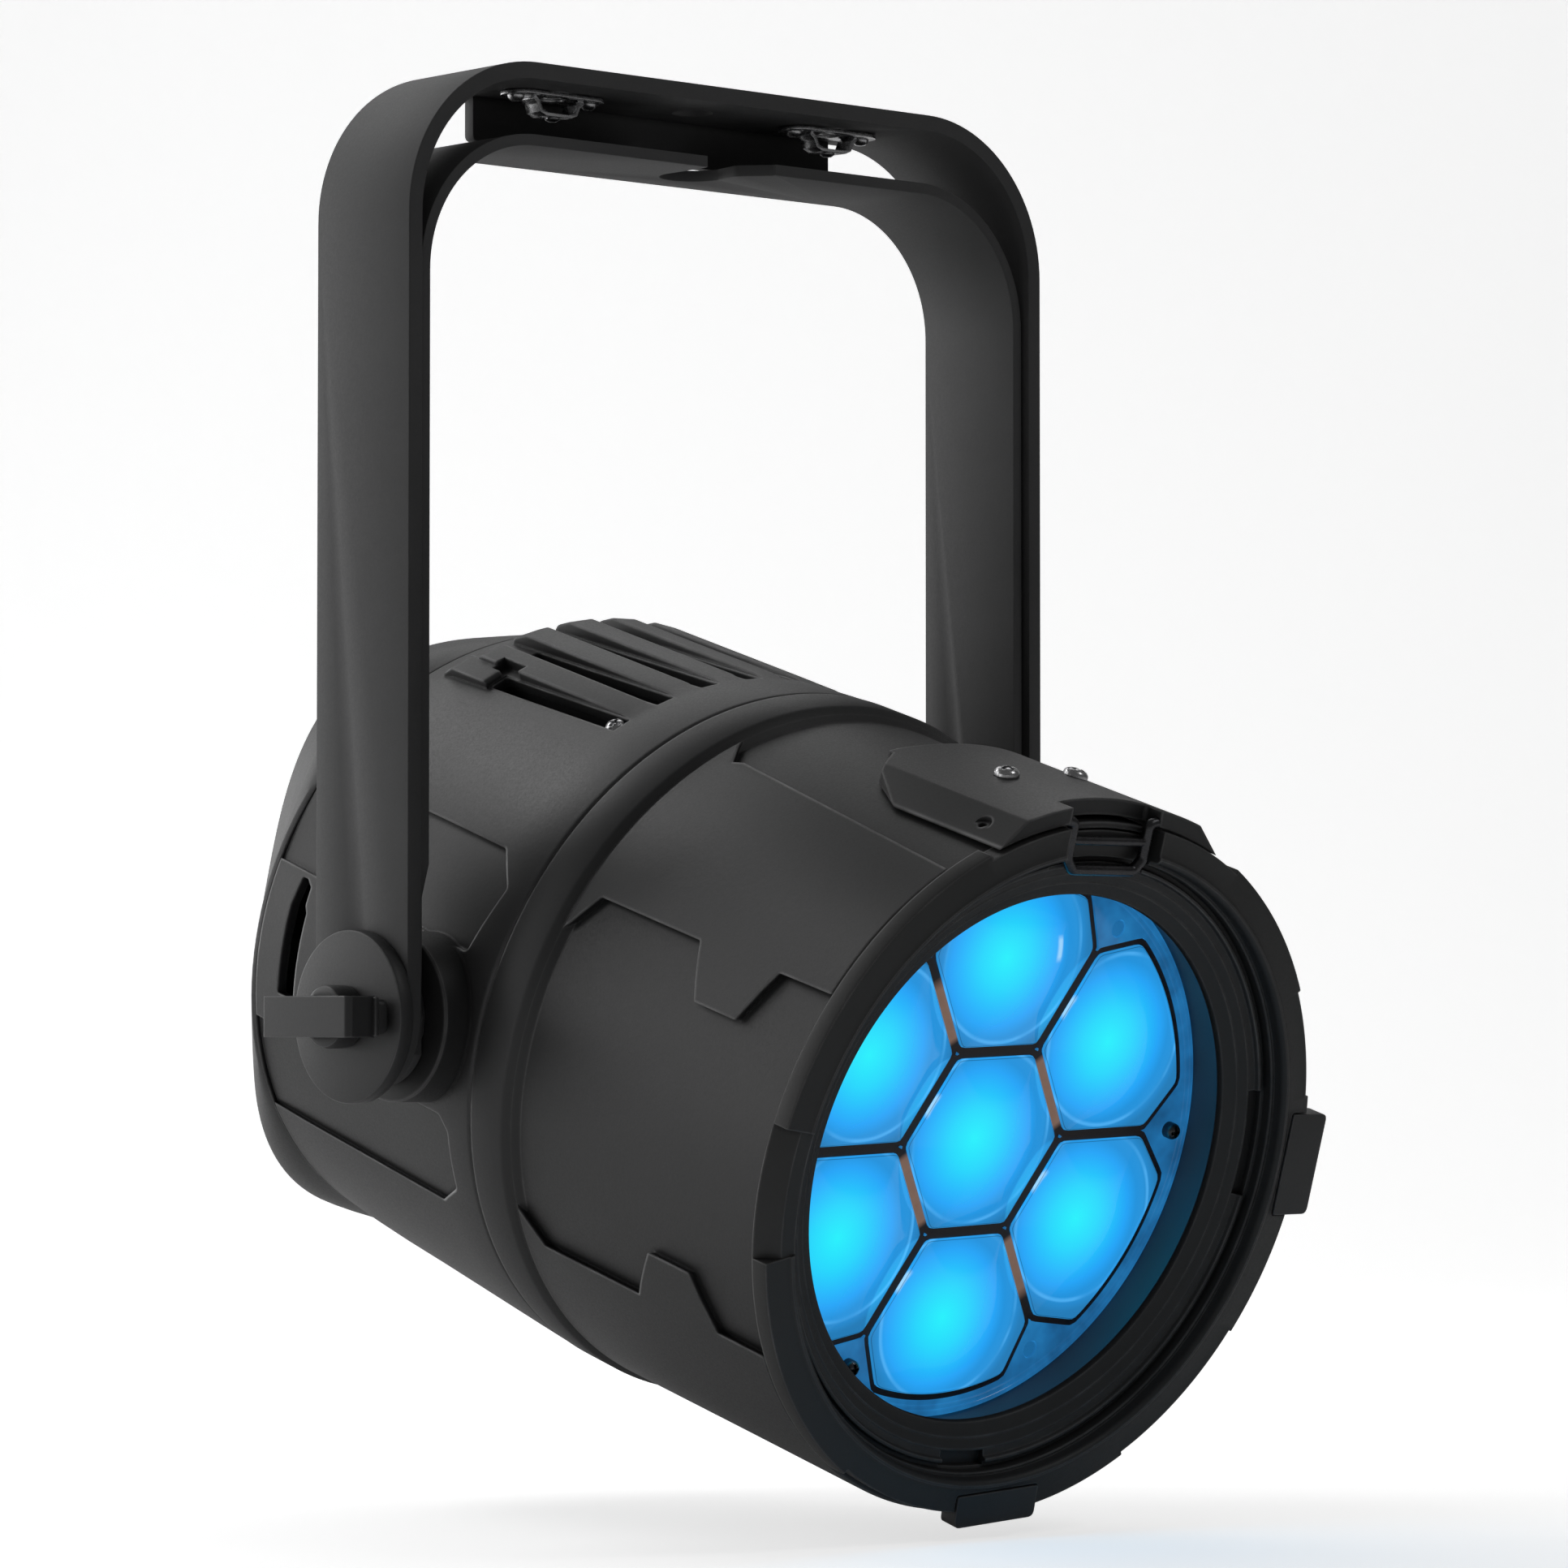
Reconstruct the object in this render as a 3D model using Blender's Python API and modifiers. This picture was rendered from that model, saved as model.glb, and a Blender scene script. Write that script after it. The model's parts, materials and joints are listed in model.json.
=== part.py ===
"""Stage par light with a folding double yoke.

A seven-cell zoom wash light: a round head on a horizontal tilt axis between
two nested U-shaped yokes. The scene is in metres, +Z up, the beam leaves
towards -Y, and the origin is the centre of the whole fixture's bounding box at
rest. The tilt axis runs along X through PIVOT. All sizes below are millimetres.

Yoke and pivot pieces are modelled about the tilt axis, along the world axes.
Head pieces are modelled in the head's own frame (x, v, s): x to the right,
v upwards across the barrel and s, the station, forwards along the barrel.
Angles around the barrel are degrees from the top, positive to the left (-x).
"""
import bpy
import bmesh
import math
import numpy as np
from mathutils import Matrix, Vector

MM = 0.001

# ------------------------------------------------------------ shared sizes
PIVOT = (0.0, 13.58, -69.95)   # middle of the tilt axis
GAP = 0.3                 # clearance between neighbouring pieces
BARREL_STEPS = 44         # facets around the barrel
TILT = 16.8               # nose-down angle of the head at rest
AXIS_LIFT = 2.4           # barrel axis above the tilt axis
SIDES = (("left", -1), ("right", 1))

YOKE_W = 264.8            # outer yoke, over the arms
YOKE_STRAP = 45.0
YOKE_T = 5.1
YOKE_TOP = 292.8
STUD_X = 58.0             # receptacles and their holes, either side of the middle

PIVOT_R = 5.2             # pivot holes
PIVOT_SEG = 12
DISC_X0, DISC_X1 = YOKE_W / 2 + GAP, 137.9
BOSS_X = 120.6            # outer face of the housing bosses

HOUSING_REAR, HOUSING_FRONT = -91.7, 30.1
RIB_PITCH = 9.2           # degrees between ribs
TUBE_REAR, TUBE_FRONT = HOUSING_FRONT + GAP, 161.0
TUBE_R = 109.9            # largest radius in front of the band
PANEL_DEPTH = 2.5

CELL_R = 32.7             # hexagon corner radius of one lens cell pitch
LENS_TURN = 2.2           # the cluster sits slightly turned in its carrier
FLANGE_TOP = 138.2        # front face of the lens carrier
BOARD_FRONT = 33.0
ROD_PCD_R = 77.5
ROD_ANGLES = {"screw": 180.0, "upper": 60.0, "lower": 300.0}   # from +x, towards +v

DISPLAY_HALF, DISPLAY_LOW, DISPLAY_HIGH = 26.0, 46.0, 70.0
BUTTON_V = 32
BUTTONS = [("menu", -24.0), ("up", -8.0), ("down", 8.0), ("enter", 24.0)]
# name, x, v, hole radius
PLUGS = [("power_in", -26.0, -4.0, 12.5), ("power_out", 26.0, -4.0, 12.5),
         ("data_in", -24.0, -42.0, 11.5), ("data_out", 24.0, -42.0, 11.5)]

# ------------------------------------------------------------ scene and materials
for old in list(bpy.data.objects):
    bpy.data.objects.remove(old, do_unlink=True)
PARTS = bpy.data.collections.new("par_light")
bpy.context.scene.collection.children.link(PARTS)
WORK = bpy.data.collections.new("cutters")     # unfinished pieces
bpy.context.scene.collection.children.link(WORK)


def material(name, colour, roughness, metallic=0.0):
    result = bpy.data.materials.new(name)
    result.use_nodes = True
    inputs = result.node_tree.nodes["Principled BSDF"].inputs
    inputs["Base Color"].default_value = (*colour, 1.0)
    inputs["Roughness"].default_value = roughness
    inputs["Metallic"].default_value = metallic
    return result


BLACK = material("black_powder_coat", colour=(0.035, 0.035, 0.037), roughness=0.5)
STRAP = material("yoke_powder_coat", colour=(0.045, 0.045, 0.047), roughness=0.45)
PLASTIC = material("black_plastic", colour=(0.02, 0.02, 0.022), roughness=0.55)
RUBBER = material("black_rubber", colour=(0.012, 0.012, 0.012), roughness=0.8)
STEEL = material("zinc_steel", colour=(0.6, 0.6, 0.62), roughness=0.3, metallic=1.0)
ALU = material("bare_aluminium", colour=(0.55, 0.56, 0.58), roughness=0.4, metallic=1.0)
ANODISED = material("black_anodised", colour=(0.03, 0.03, 0.032), roughness=0.45, metallic=0.5)
LENS = material("lens_acrylic", colour=(0.1, 0.6, 0.95), roughness=0.08)
BOARD = material("circuit_board", colour=(0.02, 0.09, 0.05), roughness=0.5)
WINDOW = material("display_window", colour=(0.01, 0.012, 0.015), roughness=0.1)


# ------------------------------------------------------------ spans and points
def both(half):
    """Span centred on zero."""
    return (-half, half)


def sided(sign, near, far):
    """Span along X on one side of the middle, lower end first."""
    return (near, far) if sign > 0 else (-far, -near)


def polar(radius, angle):
    return (radius * math.cos(math.radians(angle)), radius * math.sin(math.radians(angle)))


def arc(centre_x, centre_y, radius, start, end, count):
    points = [polar(radius, start + (end - start) * i / count) for i in range(count + 1)]
    return [(centre_x + x, centre_y + y) for x, y in points]


def sector(inner_r, outer_r, start, end, count):
    """Annular sector outline, angles from the top."""
    return (arc(0, 0, outer_r, 90 + start, 90 + end, count)
            + arc(0, 0, inner_r, 90 + end, 90 + start, count))


# ------------------------------------------------------------ solids
def wrap(mesh_data):
    """Move a bmesh into a new working object."""
    mesh = bpy.data.meshes.new("piece")
    mesh_data.to_mesh(mesh)
    mesh_data.free()
    piece = bpy.data.objects.new("piece", mesh)
    WORK.objects.link(piece)
    return piece


def bake(piece):
    """Turn curve or modifiers into one clean closed mesh at the world origin."""
    depsgraph = bpy.context.evaluated_depsgraph_get()
    depsgraph.update()
    mesh = bpy.data.meshes.new_from_object(piece.evaluated_get(depsgraph))
    mesh.transform(piece.matrix_world)
    clean = bmesh.new()
    clean.from_mesh(mesh)
    bmesh.ops.remove_doubles(clean, verts=clean.verts, dist=2e-6)
    bmesh.ops.dissolve_degenerate(clean, edges=clean.edges, dist=1e-7)
    bmesh.ops.recalc_face_normals(clean, faces=clean.faces)
    if clean.calc_volume(signed=True) < 0:
        bmesh.ops.reverse_faces(clean, faces=clean.faces)
    bpy.data.objects.remove(piece, do_unlink=True)
    bpy.data.meshes.remove(mesh)
    return wrap(clean)


def turned(profile, steps):
    """Solid of revolution about Z from (radius, station) points."""
    closed = min(radius for radius, _ in profile) > 0.01
    points = list(profile)
    loop = points + [points[0]]
    if sum(a[0] * b[1] - b[0] * a[1] for a, b in zip(loop[:-1], loop[1:])) > 0:
        points.reverse()
    section = bmesh.new()
    verts = [section.verts.new((radius * MM, 0, station * MM)) for radius, station in points]
    for start, end in zip(verts[:-1], verts[1:]):
        section.edges.new((start, end))
    if closed:
        section.edges.new((verts[-1], verts[0]))
    piece = wrap(section)
    screw = piece.modifiers.new("Screw", 'SCREW')
    screw.axis = 'Z'
    screw.steps = steps
    screw.render_steps = steps
    screw.use_merge_vertices = True
    screw.merge_threshold = 0.00001
    return bake(piece)


def solid_turned(profile, steps):
    """Solid of revolution of a profile closed to the axis at both ends."""
    return turned([(0, profile[0][1])] + profile + [(0, profile[-1][1])], steps)


def cylinder(radius, span, seg, at=(0, 0), along_x=False):
    """Cylinder along Z at (x, y), or along X at (y, z)."""
    low, high = span
    solid = bmesh.new()
    bmesh.ops.create_cone(solid, cap_ends=True, segments=seg, radius1=radius * MM,
                          radius2=radius * MM, depth=(high - low) * MM)
    bmesh.ops.translate(solid, verts=solid.verts,
                        vec=(at[0] * MM, at[1] * MM, (low + high) / 2 * MM))
    if along_x:
        solid.transform(Matrix(((0, 0, 1, 0), (1, 0, 0, 0), (0, 1, 0, 0), (0, 0, 0, 1))))
    return wrap(solid)


def box(*spans, bevel=0.0):
    """Block from its spans along X, Y and Z."""
    solid = bmesh.new()
    bmesh.ops.create_cube(solid, size=1.0)
    bmesh.ops.scale(solid, verts=solid.verts, vec=[(high - low) * MM for low, high in spans])
    bmesh.ops.translate(solid, verts=solid.verts,
                        vec=[(low + high) / 2 * MM for low, high in spans])
    if bevel:
        bmesh.ops.bevel(solid, geom=list(solid.edges), offset=bevel * MM, segments=1,
                        profile=0.5, affect='EDGES')
    return wrap(solid)


def poly_curve(points, dimensions, cyclic):
    curve = bpy.data.curves.new("curve", 'CURVE')
    curve.dimensions = dimensions
    spline = curve.splines.new('POLY')
    spline.points.add(len(points) - 1)
    for point, (x, y, z) in zip(spline.points, points):
        point.co = (x * MM, y * MM, z * MM, 1)
    spline.use_cyclic_u = cyclic
    piece = bpy.data.objects.new("curve", curve)
    WORK.objects.link(piece)
    return piece


# plane of an outline: direction of its thickness, turn from XY
PLANES = {
    'XY': ((0, 0, 1), Matrix.Identity(4)),
    'XZ': ((0, 1, 0), Matrix(((1, 0, 0, 0), (0, 0, -1, 0), (0, 1, 0, 0), (0, 0, 0, 1)))),
    'YZ': ((1, 0, 0), Matrix(((0, 0, 1, 0), (1, 0, 0, 0), (0, 1, 0, 0), (0, 0, 0, 1))))}


def outline(points, span, plane='XY'):
    """Flat outline extruded over a span along the plane's normal."""
    low, high = span
    piece = poly_curve([(a, b, 0) for a, b in points], '2D', cyclic=True)
    piece.data.fill_mode = 'BOTH'
    piece.data.extrude = (high - low) / 2 * MM
    normal, turn = PLANES[plane]
    piece.matrix_world = Matrix.Translation(Vector(normal) * ((low + high) / 2 * MM)) @ turn
    bpy.context.view_layer.update()
    return bake(piece)


def boolean(body, tools, operation):
    for tool in tools:
        modifier = body.modifiers.new("Boolean", 'BOOLEAN')
        modifier.operation = operation
        modifier.solver = 'EXACT'
        modifier.object = tool
        body = bake(body)
        bpy.data.objects.remove(tool, do_unlink=True)
    return body


def cut(body, *tools):
    return boolean(body, tools, 'DIFFERENCE')


def join(body, *tools):
    return boolean(body, tools, 'UNION')


def common(body, *tools):
    return boolean(body, tools, 'INTERSECT')


def moved(piece, matrix):
    piece.data.transform(matrix)
    return piece


def shift(x, y, z):
    return Matrix.Translation((x * MM, y * MM, z * MM))


def turn_about(axis, angle):
    return Matrix.Rotation(math.radians(angle), 4, axis)


def spin(piece, angle):
    return moved(piece, turn_about('Z', angle))


def radial(piece, station, angle):
    """Stand a piece modelled along Z outwards from the barrel axis."""
    return moved(piece, shift(0, 0, station) @ turn_about('Z', angle) @ turn_about('X', -90))


def flipped(piece):
    """Mirror image across X = 0."""
    copy = piece.copy()
    copy.data = piece.data.copy()
    WORK.objects.link(copy)
    copy.data.transform(Matrix.Scale(-1, 4, (1, 0, 0)))
    copy.data.flip_normals()
    return copy


def cut_both_sides(body, cutter):
    return cut(body, flipped(cutter), cutter)


def side_cutter(points, core_profile, mean_r):
    """Shallow pocket in the left of a barrel: outline given as (station,
    angle from the top), seen from the side, cut down to the core profile."""
    flat = [(mean_r * math.cos(math.radians(angle)), station) for station, angle in points]
    return cut(outline(flat, (-130, -40), 'YZ'), solid_turned(core_profile, BARREL_STEPS))


# ------------------------------------------------------------ placing pieces
def frame(name, x=0, angle=0.0):
    """Empty on the tilt axis, x to the right of its middle."""
    empty = bpy.data.objects.new(name, None)
    PARTS.objects.link(empty)
    empty.empty_display_size = 0.03
    empty.location = (Vector(PIVOT) + Vector((x, 0, 0))) * MM
    empty.rotation_euler = (math.radians(angle), 0, 0)
    return empty


YOKE_FRAME = frame("yoke_frame")
INNER_AXIS = frame("inner_yoke_axis")
HEAD_AXIS = frame("head_tilt_axis", angle=90 + TILT)
HANDLE_AXES = {side: frame("handle_%s_axis" % side, x=sign * DISC_X1) for side, sign in SIDES}

# where the modelling origin lies, seen from each frame that differs from it
MODEL_ORIGIN = {"head_tilt_axis": (0, AXIS_LIFT, 0),
                "handle_left_axis": (DISC_X1, 0, 0),
                "handle_right_axis": (-DISC_X1, 0, 0)}


def place(piece, name, finish, parent=HEAD_AXIS, origin=(0, 0, 0), sharp=35):
    """Name a finished piece, give it its finish and hang it on its frame.

    origin is the modelling point that becomes the piece's origin.
    """
    WORK.objects.unlink(piece)
    PARTS.objects.link(piece)
    piece.name = name
    piece.data.name = name
    piece.data.materials.clear()
    piece.data.materials.append(finish)
    own_origin = Vector(origin) * MM
    piece.data.transform(Matrix.Translation(-own_origin))
    piece.data.shade_smooth()
    piece.data.set_sharp_from_angle(angle=math.radians(sharp))
    piece.parent = parent
    piece.location = own_origin + Vector(MODEL_ORIGIN.get(parent.name, (0, 0, 0))) * MM


# ------------------------------------------------------------ the two yokes
YOKE_BEND = 50.0
CLAMP_HOLE_R = 6.5
STUD_HOLE_R = 6.2
FLANGE_HALF = 75.0
FLANGE_LOW = 273.8

INNER_W = 251.9           # inner yoke, over the arms
INNER_STRAP = 42.3
INNER_T = 3.5
INNER_TOP = 270.9
INNER_BEND = 45.0
INNER_SHIFT = 0.95        # towards the back
ARM_NOTCH = 3.4           # taken off each edge of the inner arms
# (x, y) of the slot in the inner top bar, open to the front
TOP_SLOT = [(16, -26), (16, -19.5), (9.5, -10), (11, 0)] \
    + arc(0.3, 0, 10.8, 0, 180, 8) + [(-10.5, -26)]


def u_strap(width, strap, thick, top, bend, y_shift):
    """U-shaped flat bar, arms down, with round ends about the tilt axis."""
    half = width / 2
    end_r = strap / 2
    bend_x, bend_z = half - bend, top - bend
    foot = -end_r - 2
    outer = [(-half, foot)] + arc(-bend_x, bend_z, bend, 180, 90, 8) \
        + arc(bend_x, bend_z, bend, 90, 0, 8) + [(half, foot)]
    inner = [(half - thick, foot)] + arc(bend_x, bend_z, bend - thick, 0, 90, 8) \
        + arc(-bend_x, bend_z, bend - thick, 90, 180, 8) + [(-half + thick, foot)]
    bar = outline(outer + inner, (y_shift - end_r, y_shift + end_r), 'XZ')
    back, front = y_shift + end_r + 4, y_shift - end_r - 4
    ends = [(front, 0.01)] + arc(y_shift, 0, end_r, 180, 360, 10) \
        + [(back, 0.01), (back, -end_r - 10), (front, -end_r - 10)]
    return cut(bar, outline(ends, both(half + 10), 'YZ'))


def pivot_hole():
    return cylinder(PIVOT_R, both(150), PIVOT_SEG, along_x=True)


def build_outer_yoke():
    yoke = u_strap(YOKE_W, YOKE_STRAP, YOKE_T, YOKE_TOP, YOKE_BEND, 0)
    rear_flange = box(both(FLANGE_HALF), (YOKE_STRAP / 2 - 4.3, YOKE_STRAP / 2 - 0.2),
                      (FLANGE_LOW, YOKE_TOP - YOKE_T + 1.5))
    yoke = cut(join(yoke, rear_flange), pivot_hole(), cylinder(CLAMP_HOLE_R, (270, 300), 16))
    for x in both(STUD_X):
        yoke = cut(yoke, cylinder(STUD_HOLE_R, (280, 300), 12, at=(x, 0)))
    place(yoke, "outer_yoke", STRAP, YOKE_FRAME)


def build_inner_yoke():
    yoke = u_strap(INNER_W, INNER_STRAP, INNER_T, INNER_TOP, INNER_BEND, INNER_SHIFT)
    for sign in (-1, 1):      # arms narrow near the tilt axis
        outside = INNER_SHIFT + sign * (INNER_STRAP / 2 + 5)
        edge = INNER_SHIFT + sign * (INNER_STRAP / 2 - ARM_NOTCH)
        notch = [(outside, 46), (edge + sign * ARM_NOTCH, 46), (edge, 36), (edge, -30),
                 (outside, -30)]
        yoke = cut(yoke, outline(notch, both(140), 'YZ'))
    yoke = cut(yoke, pivot_hole(), outline(TOP_SLOT, (255, 285)))
    place(yoke, "inner_yoke", STRAP, INNER_AXIS)


def build_receptacle(side, x):
    """Spring receptacle under the top bar for a quarter-turn bracket stud."""
    top = YOKE_TOP - YOKE_T - GAP
    plate = outline(arc(x + 12, 0, 7, -90, 90, 5) + arc(x - 12, 0, 7, 90, 270, 5),
                    (top - 1.4, top))
    # (x from the stud, depth below the top) of the folded spring strap
    spring = [(-10, 1), (-8, 6.4), (8, 6.4), (10, 1), (8.4, 1), (6.8, 4.9), (-6.8, 4.9), (-8.4, 1)]
    piece = join(plate, outline([(x + dx, top - depth) for dx, depth in spring],
                                both(3.6), 'XZ'))
    for dx in both(14.6):     # rivets
        piece = join(piece, cylinder(2.6, (top - 3.2, top - 0.7), 8, at=(x + dx, 0)))
    piece = cut(piece, cylinder(3.4, (top - 3.0, top + 1), 8, at=(x, 0)))
    piece = join(piece, cylinder(2.4, (top - 8.2, top - 5.4), 8, at=(x, 0)))
    place(piece, "receptacle_" + side, STEEL, YOKE_FRAME)


# ------------------------------------------------------------ tilt pivots
# name, outer radius, near and far x, facets, finish
PIVOT_RINGS = [
    ("tilt_disc_", 26.3, DISC_X0, DISC_X1, 28, STRAP),
    ("yoke_washer_", 19.0, 126.3, YOKE_W / 2 - YOKE_T - GAP, 20, PLASTIC),
    ("hub_washer_", 16.5, BOSS_X + GAP, 122.1, 20, PLASTIC)]


def build_pivot(side, sign):
    for name, radius, near, far, seg, finish in PIVOT_RINGS:
        ring = cylinder(radius, sided(sign, near, far), seg, along_x=True)
        hole = cylinder(PIVOT_R, sided(sign, near - 5, far + 5), PIVOT_SEG, along_x=True)
        place(cut(ring, hole), name + side, finish, YOKE_FRAME)
    bolt = cylinder(PIVOT_R - 0.5, sided(sign, 102.0, DISC_X1 - 0.1), PIVOT_SEG, along_x=True)
    place(bolt, "pivot_bolt_" + side, STEEL, HANDLE_AXES[side])
    hub = cylinder(9.6, sided(sign, DISC_X1 + GAP, 147.0), 16, along_x=True)
    bar = box(sided(sign, 143.6, 154.2), both(21.5), both(6.2), bevel=1.3)
    lug = box(sided(sign, 138.9, 144.6), both(22.6), both(5.3), bevel=1.6)
    place(join(hub, bar, lug), "tilt_handle_" + side, PLASTIC, HANDLE_AXES[side])


# ------------------------------------------------------------ rear housing
# (radius, station)
HOUSING_PROFILE = [(104.5, HOUSING_REAR), (106.8, -60.0), (109.0, -15.0), (111.3, HOUSING_FRONT)]
HOUSING_WALL = 3.6
POCKET_DEPTH = 1.6
# (station, angle from the top)
HOUSING_POCKETS = [
    [(-88, 60.5), (9, 60.5), (19.5, 66.3), (14, 78.2), (-88, 78.2)],
    [(-88, 105.6), (13.5, 105.6), (17.8, 108.0), (18.3, 118.3), (8, 122.5), (-88, 122.5)]]
DROP_REAR_R, DROP_FRONT_R, DROP_ANGLE = 99.9, 106.2, 37.0
DROP_FRONT = -74.0
RIB_TOP = 110.4
RIB_W, SLOT_W = 10.6, 6.9
RIB_SIDE = 3              # ribs on each side of the middle one
STUB_ANGLE = (RIB_SIDE + 0.5) * RIB_PITCH
# (v, station)
RIB_OUTLINE = [(98, -76), (106.0, -76.2), (109.4, -73.5), (RIB_TOP, -69), (RIB_TOP, 6.0), (98, 6.0)]
STUB_OUTLINE = [(98, -80), (105.0, -80.2), (108.6, -77.0), (109.2, -74), (109.2, -57), (98, -57)]
BOSS_R = 26.0


def housing_r(station):
    radii, stations = zip(*HOUSING_PROFILE)
    return float(np.interp(station, stations, radii))


def cut_pockets(shell):
    # (station of the core, station whose radius it takes)
    stations = [(-95.0, HOUSING_REAR), (-60.0, -60), (-15.0, -15), (32.0, 30)]
    core = [(housing_r(source) - POCKET_DEPTH, station) for station, source in stations]
    for pocket in HOUSING_POCKETS:
        shell = cut_both_sides(shell, side_cutter(pocket, core, 109.0))
    return shell


def drop_top(shell):
    """Behind the ribs the top of the shell drops to the rear cap."""
    removed = cut(outline(sector(60, 130, -DROP_ANGLE, DROP_ANGLE, 12), (-95, DROP_FRONT)),
                  solid_turned([(DROP_REAR_R - 1.4, -96.0), (DROP_FRONT_R, DROP_FRONT),
                                (DROP_FRONT_R, -70.0)], BARREL_STEPS))
    wall = turned([(DROP_REAR_R - 3.4, HOUSING_REAR), (DROP_REAR_R, HOUSING_REAR),
                   (DROP_FRONT_R - 0.3, -74.2), (DROP_FRONT_R - 0.3, -72.0),
                   (DROP_FRONT_R - 4.0, -72.0)], BARREL_STEPS)
    wall_half = DROP_ANGLE + 0.6
    wall = common(wall, outline(sector(60, 130, -wall_half, wall_half, 12), (-95, -70.0)))
    return join(cut(shell, removed), wall)


def add_ribs(shell):
    for k in range(-RIB_SIDE, RIB_SIDE + 1):
        shell = join(shell, spin(outline(RIB_OUTLINE, both(RIB_W / 2), 'YZ'), k * RIB_PITCH))
    for angle in both(STUB_ANGLE):
        shell = join(shell, spin(outline(STUB_OUTLINE, both(4.4), 'YZ'), angle))
    for k in range(-RIB_SIDE - 1, RIB_SIDE + 1):     # vent slots between the ribs
        rear = -56.5 if k in (-RIB_SIDE - 1, RIB_SIDE) else -62.0
        slot = box(both(SLOT_W / 2), (90, 120), (rear, 6.5))
        shell = cut(shell, spin(slot, (k + 0.5) * RIB_PITCH))
    return shell


def build_rear_housing():
    inside = [(radius - HOUSING_WALL, station) for radius, station in reversed(HOUSING_PROFILE)]
    shell = turned(HOUSING_PROFILE + inside, BARREL_STEPS)
    shell = add_ribs(drop_top(cut_pockets(shell)))
    tilt_at = (-AXIS_LIFT, 0)
    for _, sign in SIDES:
        boss = cylinder(BOSS_R, sided(sign, 100.0, BOSS_X), 28, at=tilt_at, along_x=True)
        hole = cylinder(PIVOT_R, sided(sign, 95.0, 130.0), PIVOT_SEG, at=tilt_at, along_x=True)
        side_vent = box(sided(sign, 85, 120), (-18, 9), (-82, -69.5))
        shell = cut(join(shell, boss), hole, side_vent)
    place(shell, "rear_housing", BLACK)


def build_vent_screw(side, angle):
    screw = turned([(0, 107.4), (1.8, 107.1), (3.1, 105.8), (3.1, 100.0), (0, 100.0)], 10)
    place(radial(screw, 3.0, angle), "vent_screw_" + side, STEEL)


# ------------------------------------------------------------ rear cap
CAP_FRONT = -92.0
CAP_SECTIONS = [          # station, half width, top, bottom, squareness
    (CAP_FRONT, 104.5, 99.8, 104.5, 2.0),
    (-94.0, 104.3, 99.2, 104.5, 2.05),
    (-112.0, 85.7, 93.0, 103.9, 2.95),
    (-132.0, 71.1, 85.5, 86.4, 3.1),
    (-150.0, 60.4, 78.5, 74.1, 2.85)]
CAP_WALL = 3.0
CAP_POINTS = 32           # around each section
CAP_CUT = (-160, -140)    # stations of the cuts through the rear face


def super_ring(half_width, top, bottom, squareness):
    """Superellipse, counted from the top, with its own height above and below."""
    points = []
    for i in range(CAP_POINTS):
        turn = 2 * math.pi * i / CAP_POINTS
        cosine, sine = math.cos(turn), math.sin(turn)
        height = top if cosine > 0 else bottom
        power = 2 / squareness
        points.append((-half_width * math.copysign(abs(sine) ** power, sine),
                       height * math.copysign(abs(cosine) ** power, cosine)))
    return points


def build_rear_cap():
    skin = bmesh.new()
    rings = [[skin.verts.new((x * MM, v * MM, station * MM)) for x, v in super_ring(*section)]
             for station, *section in CAP_SECTIONS]
    for front, rear in zip(rings[:-1], rings[1:]):
        for i in range(CAP_POINTS):
            j = (i + 1) % CAP_POINTS
            skin.faces.new((front[i], front[j], rear[j], rear[i]))
    skin.faces.new(rings[-1])
    bmesh.ops.recalc_face_normals(skin, faces=skin.faces)
    cap = wrap(skin)
    solidify = cap.modifiers.new("Solidify", 'SOLIDIFY')
    solidify.thickness = CAP_WALL * MM
    solidify.offset = -1
    solidify.use_even_offset = True
    cap = cut(bake(cap), cylinder(120, (CAP_FRONT, -80.0), 16),     # trim the rim flat
              box(both(DISPLAY_HALF), (DISPLAY_LOW, DISPLAY_HIGH), CAP_CUT))
    for _, x in BUTTONS:
        cap = cut(cap, cylinder(4.3, CAP_CUT, 10, at=(x, BUTTON_V)))
    for _, x, v, radius in PLUGS:
        cap = cut(cap, cylinder(radius, CAP_CUT, 16, at=(x, v)))
    place(cap, "rear_cap", BLACK, sharp=30)


# ------------------------------------------------------------ front tube
TUBE_MID_R, TUBE_FRONT_R = 109.2, 108.6
TUBE_BORE = 104.3
BAND_R, BAND_FRONT = 111.4, 45.7     # raised band at the rear end
PANEL_MEAN_R = 109.3                 # radius at which panel angles are laid out
# (radius, station)
TUBE_PROFILE = [(BAND_R, TUBE_REAR), (BAND_R, BAND_FRONT), (109.2, 48.4), (TUBE_R, 49.4),
                (TUBE_MID_R, 105.0), (TUBE_FRONT_R, TUBE_FRONT), (TUBE_BORE, TUBE_FRONT),
                (TUBE_BORE, TUBE_REAR)]
PANEL_CORE = [(TUBE_R - PANEL_DEPTH, 28.0), (TUBE_MID_R - PANEL_DEPTH, 105.0),
              (108.5 - PANEL_DEPTH, 176.0)]
# (station, angle from the top)
SIDE_PANEL = [(50.5, 67.3), (57.0, 61.6), (103.0, 61.6), (113.0, 70.6), (131.5, 70.6),
              (138.3, 61.3), (175.0, 61.0), (175.0, 121.2), (140.0, 121.0), (131.5, 111.8),
              (112.8, 111.8), (103.8, 121.2), (59.0, 121.2), (50.5, 116.5)]
TOP_PANEL = [(50.5, 26.3), (57.0, 30.4), (60.5, 29.6), (175.0, 33.6)]


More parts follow.
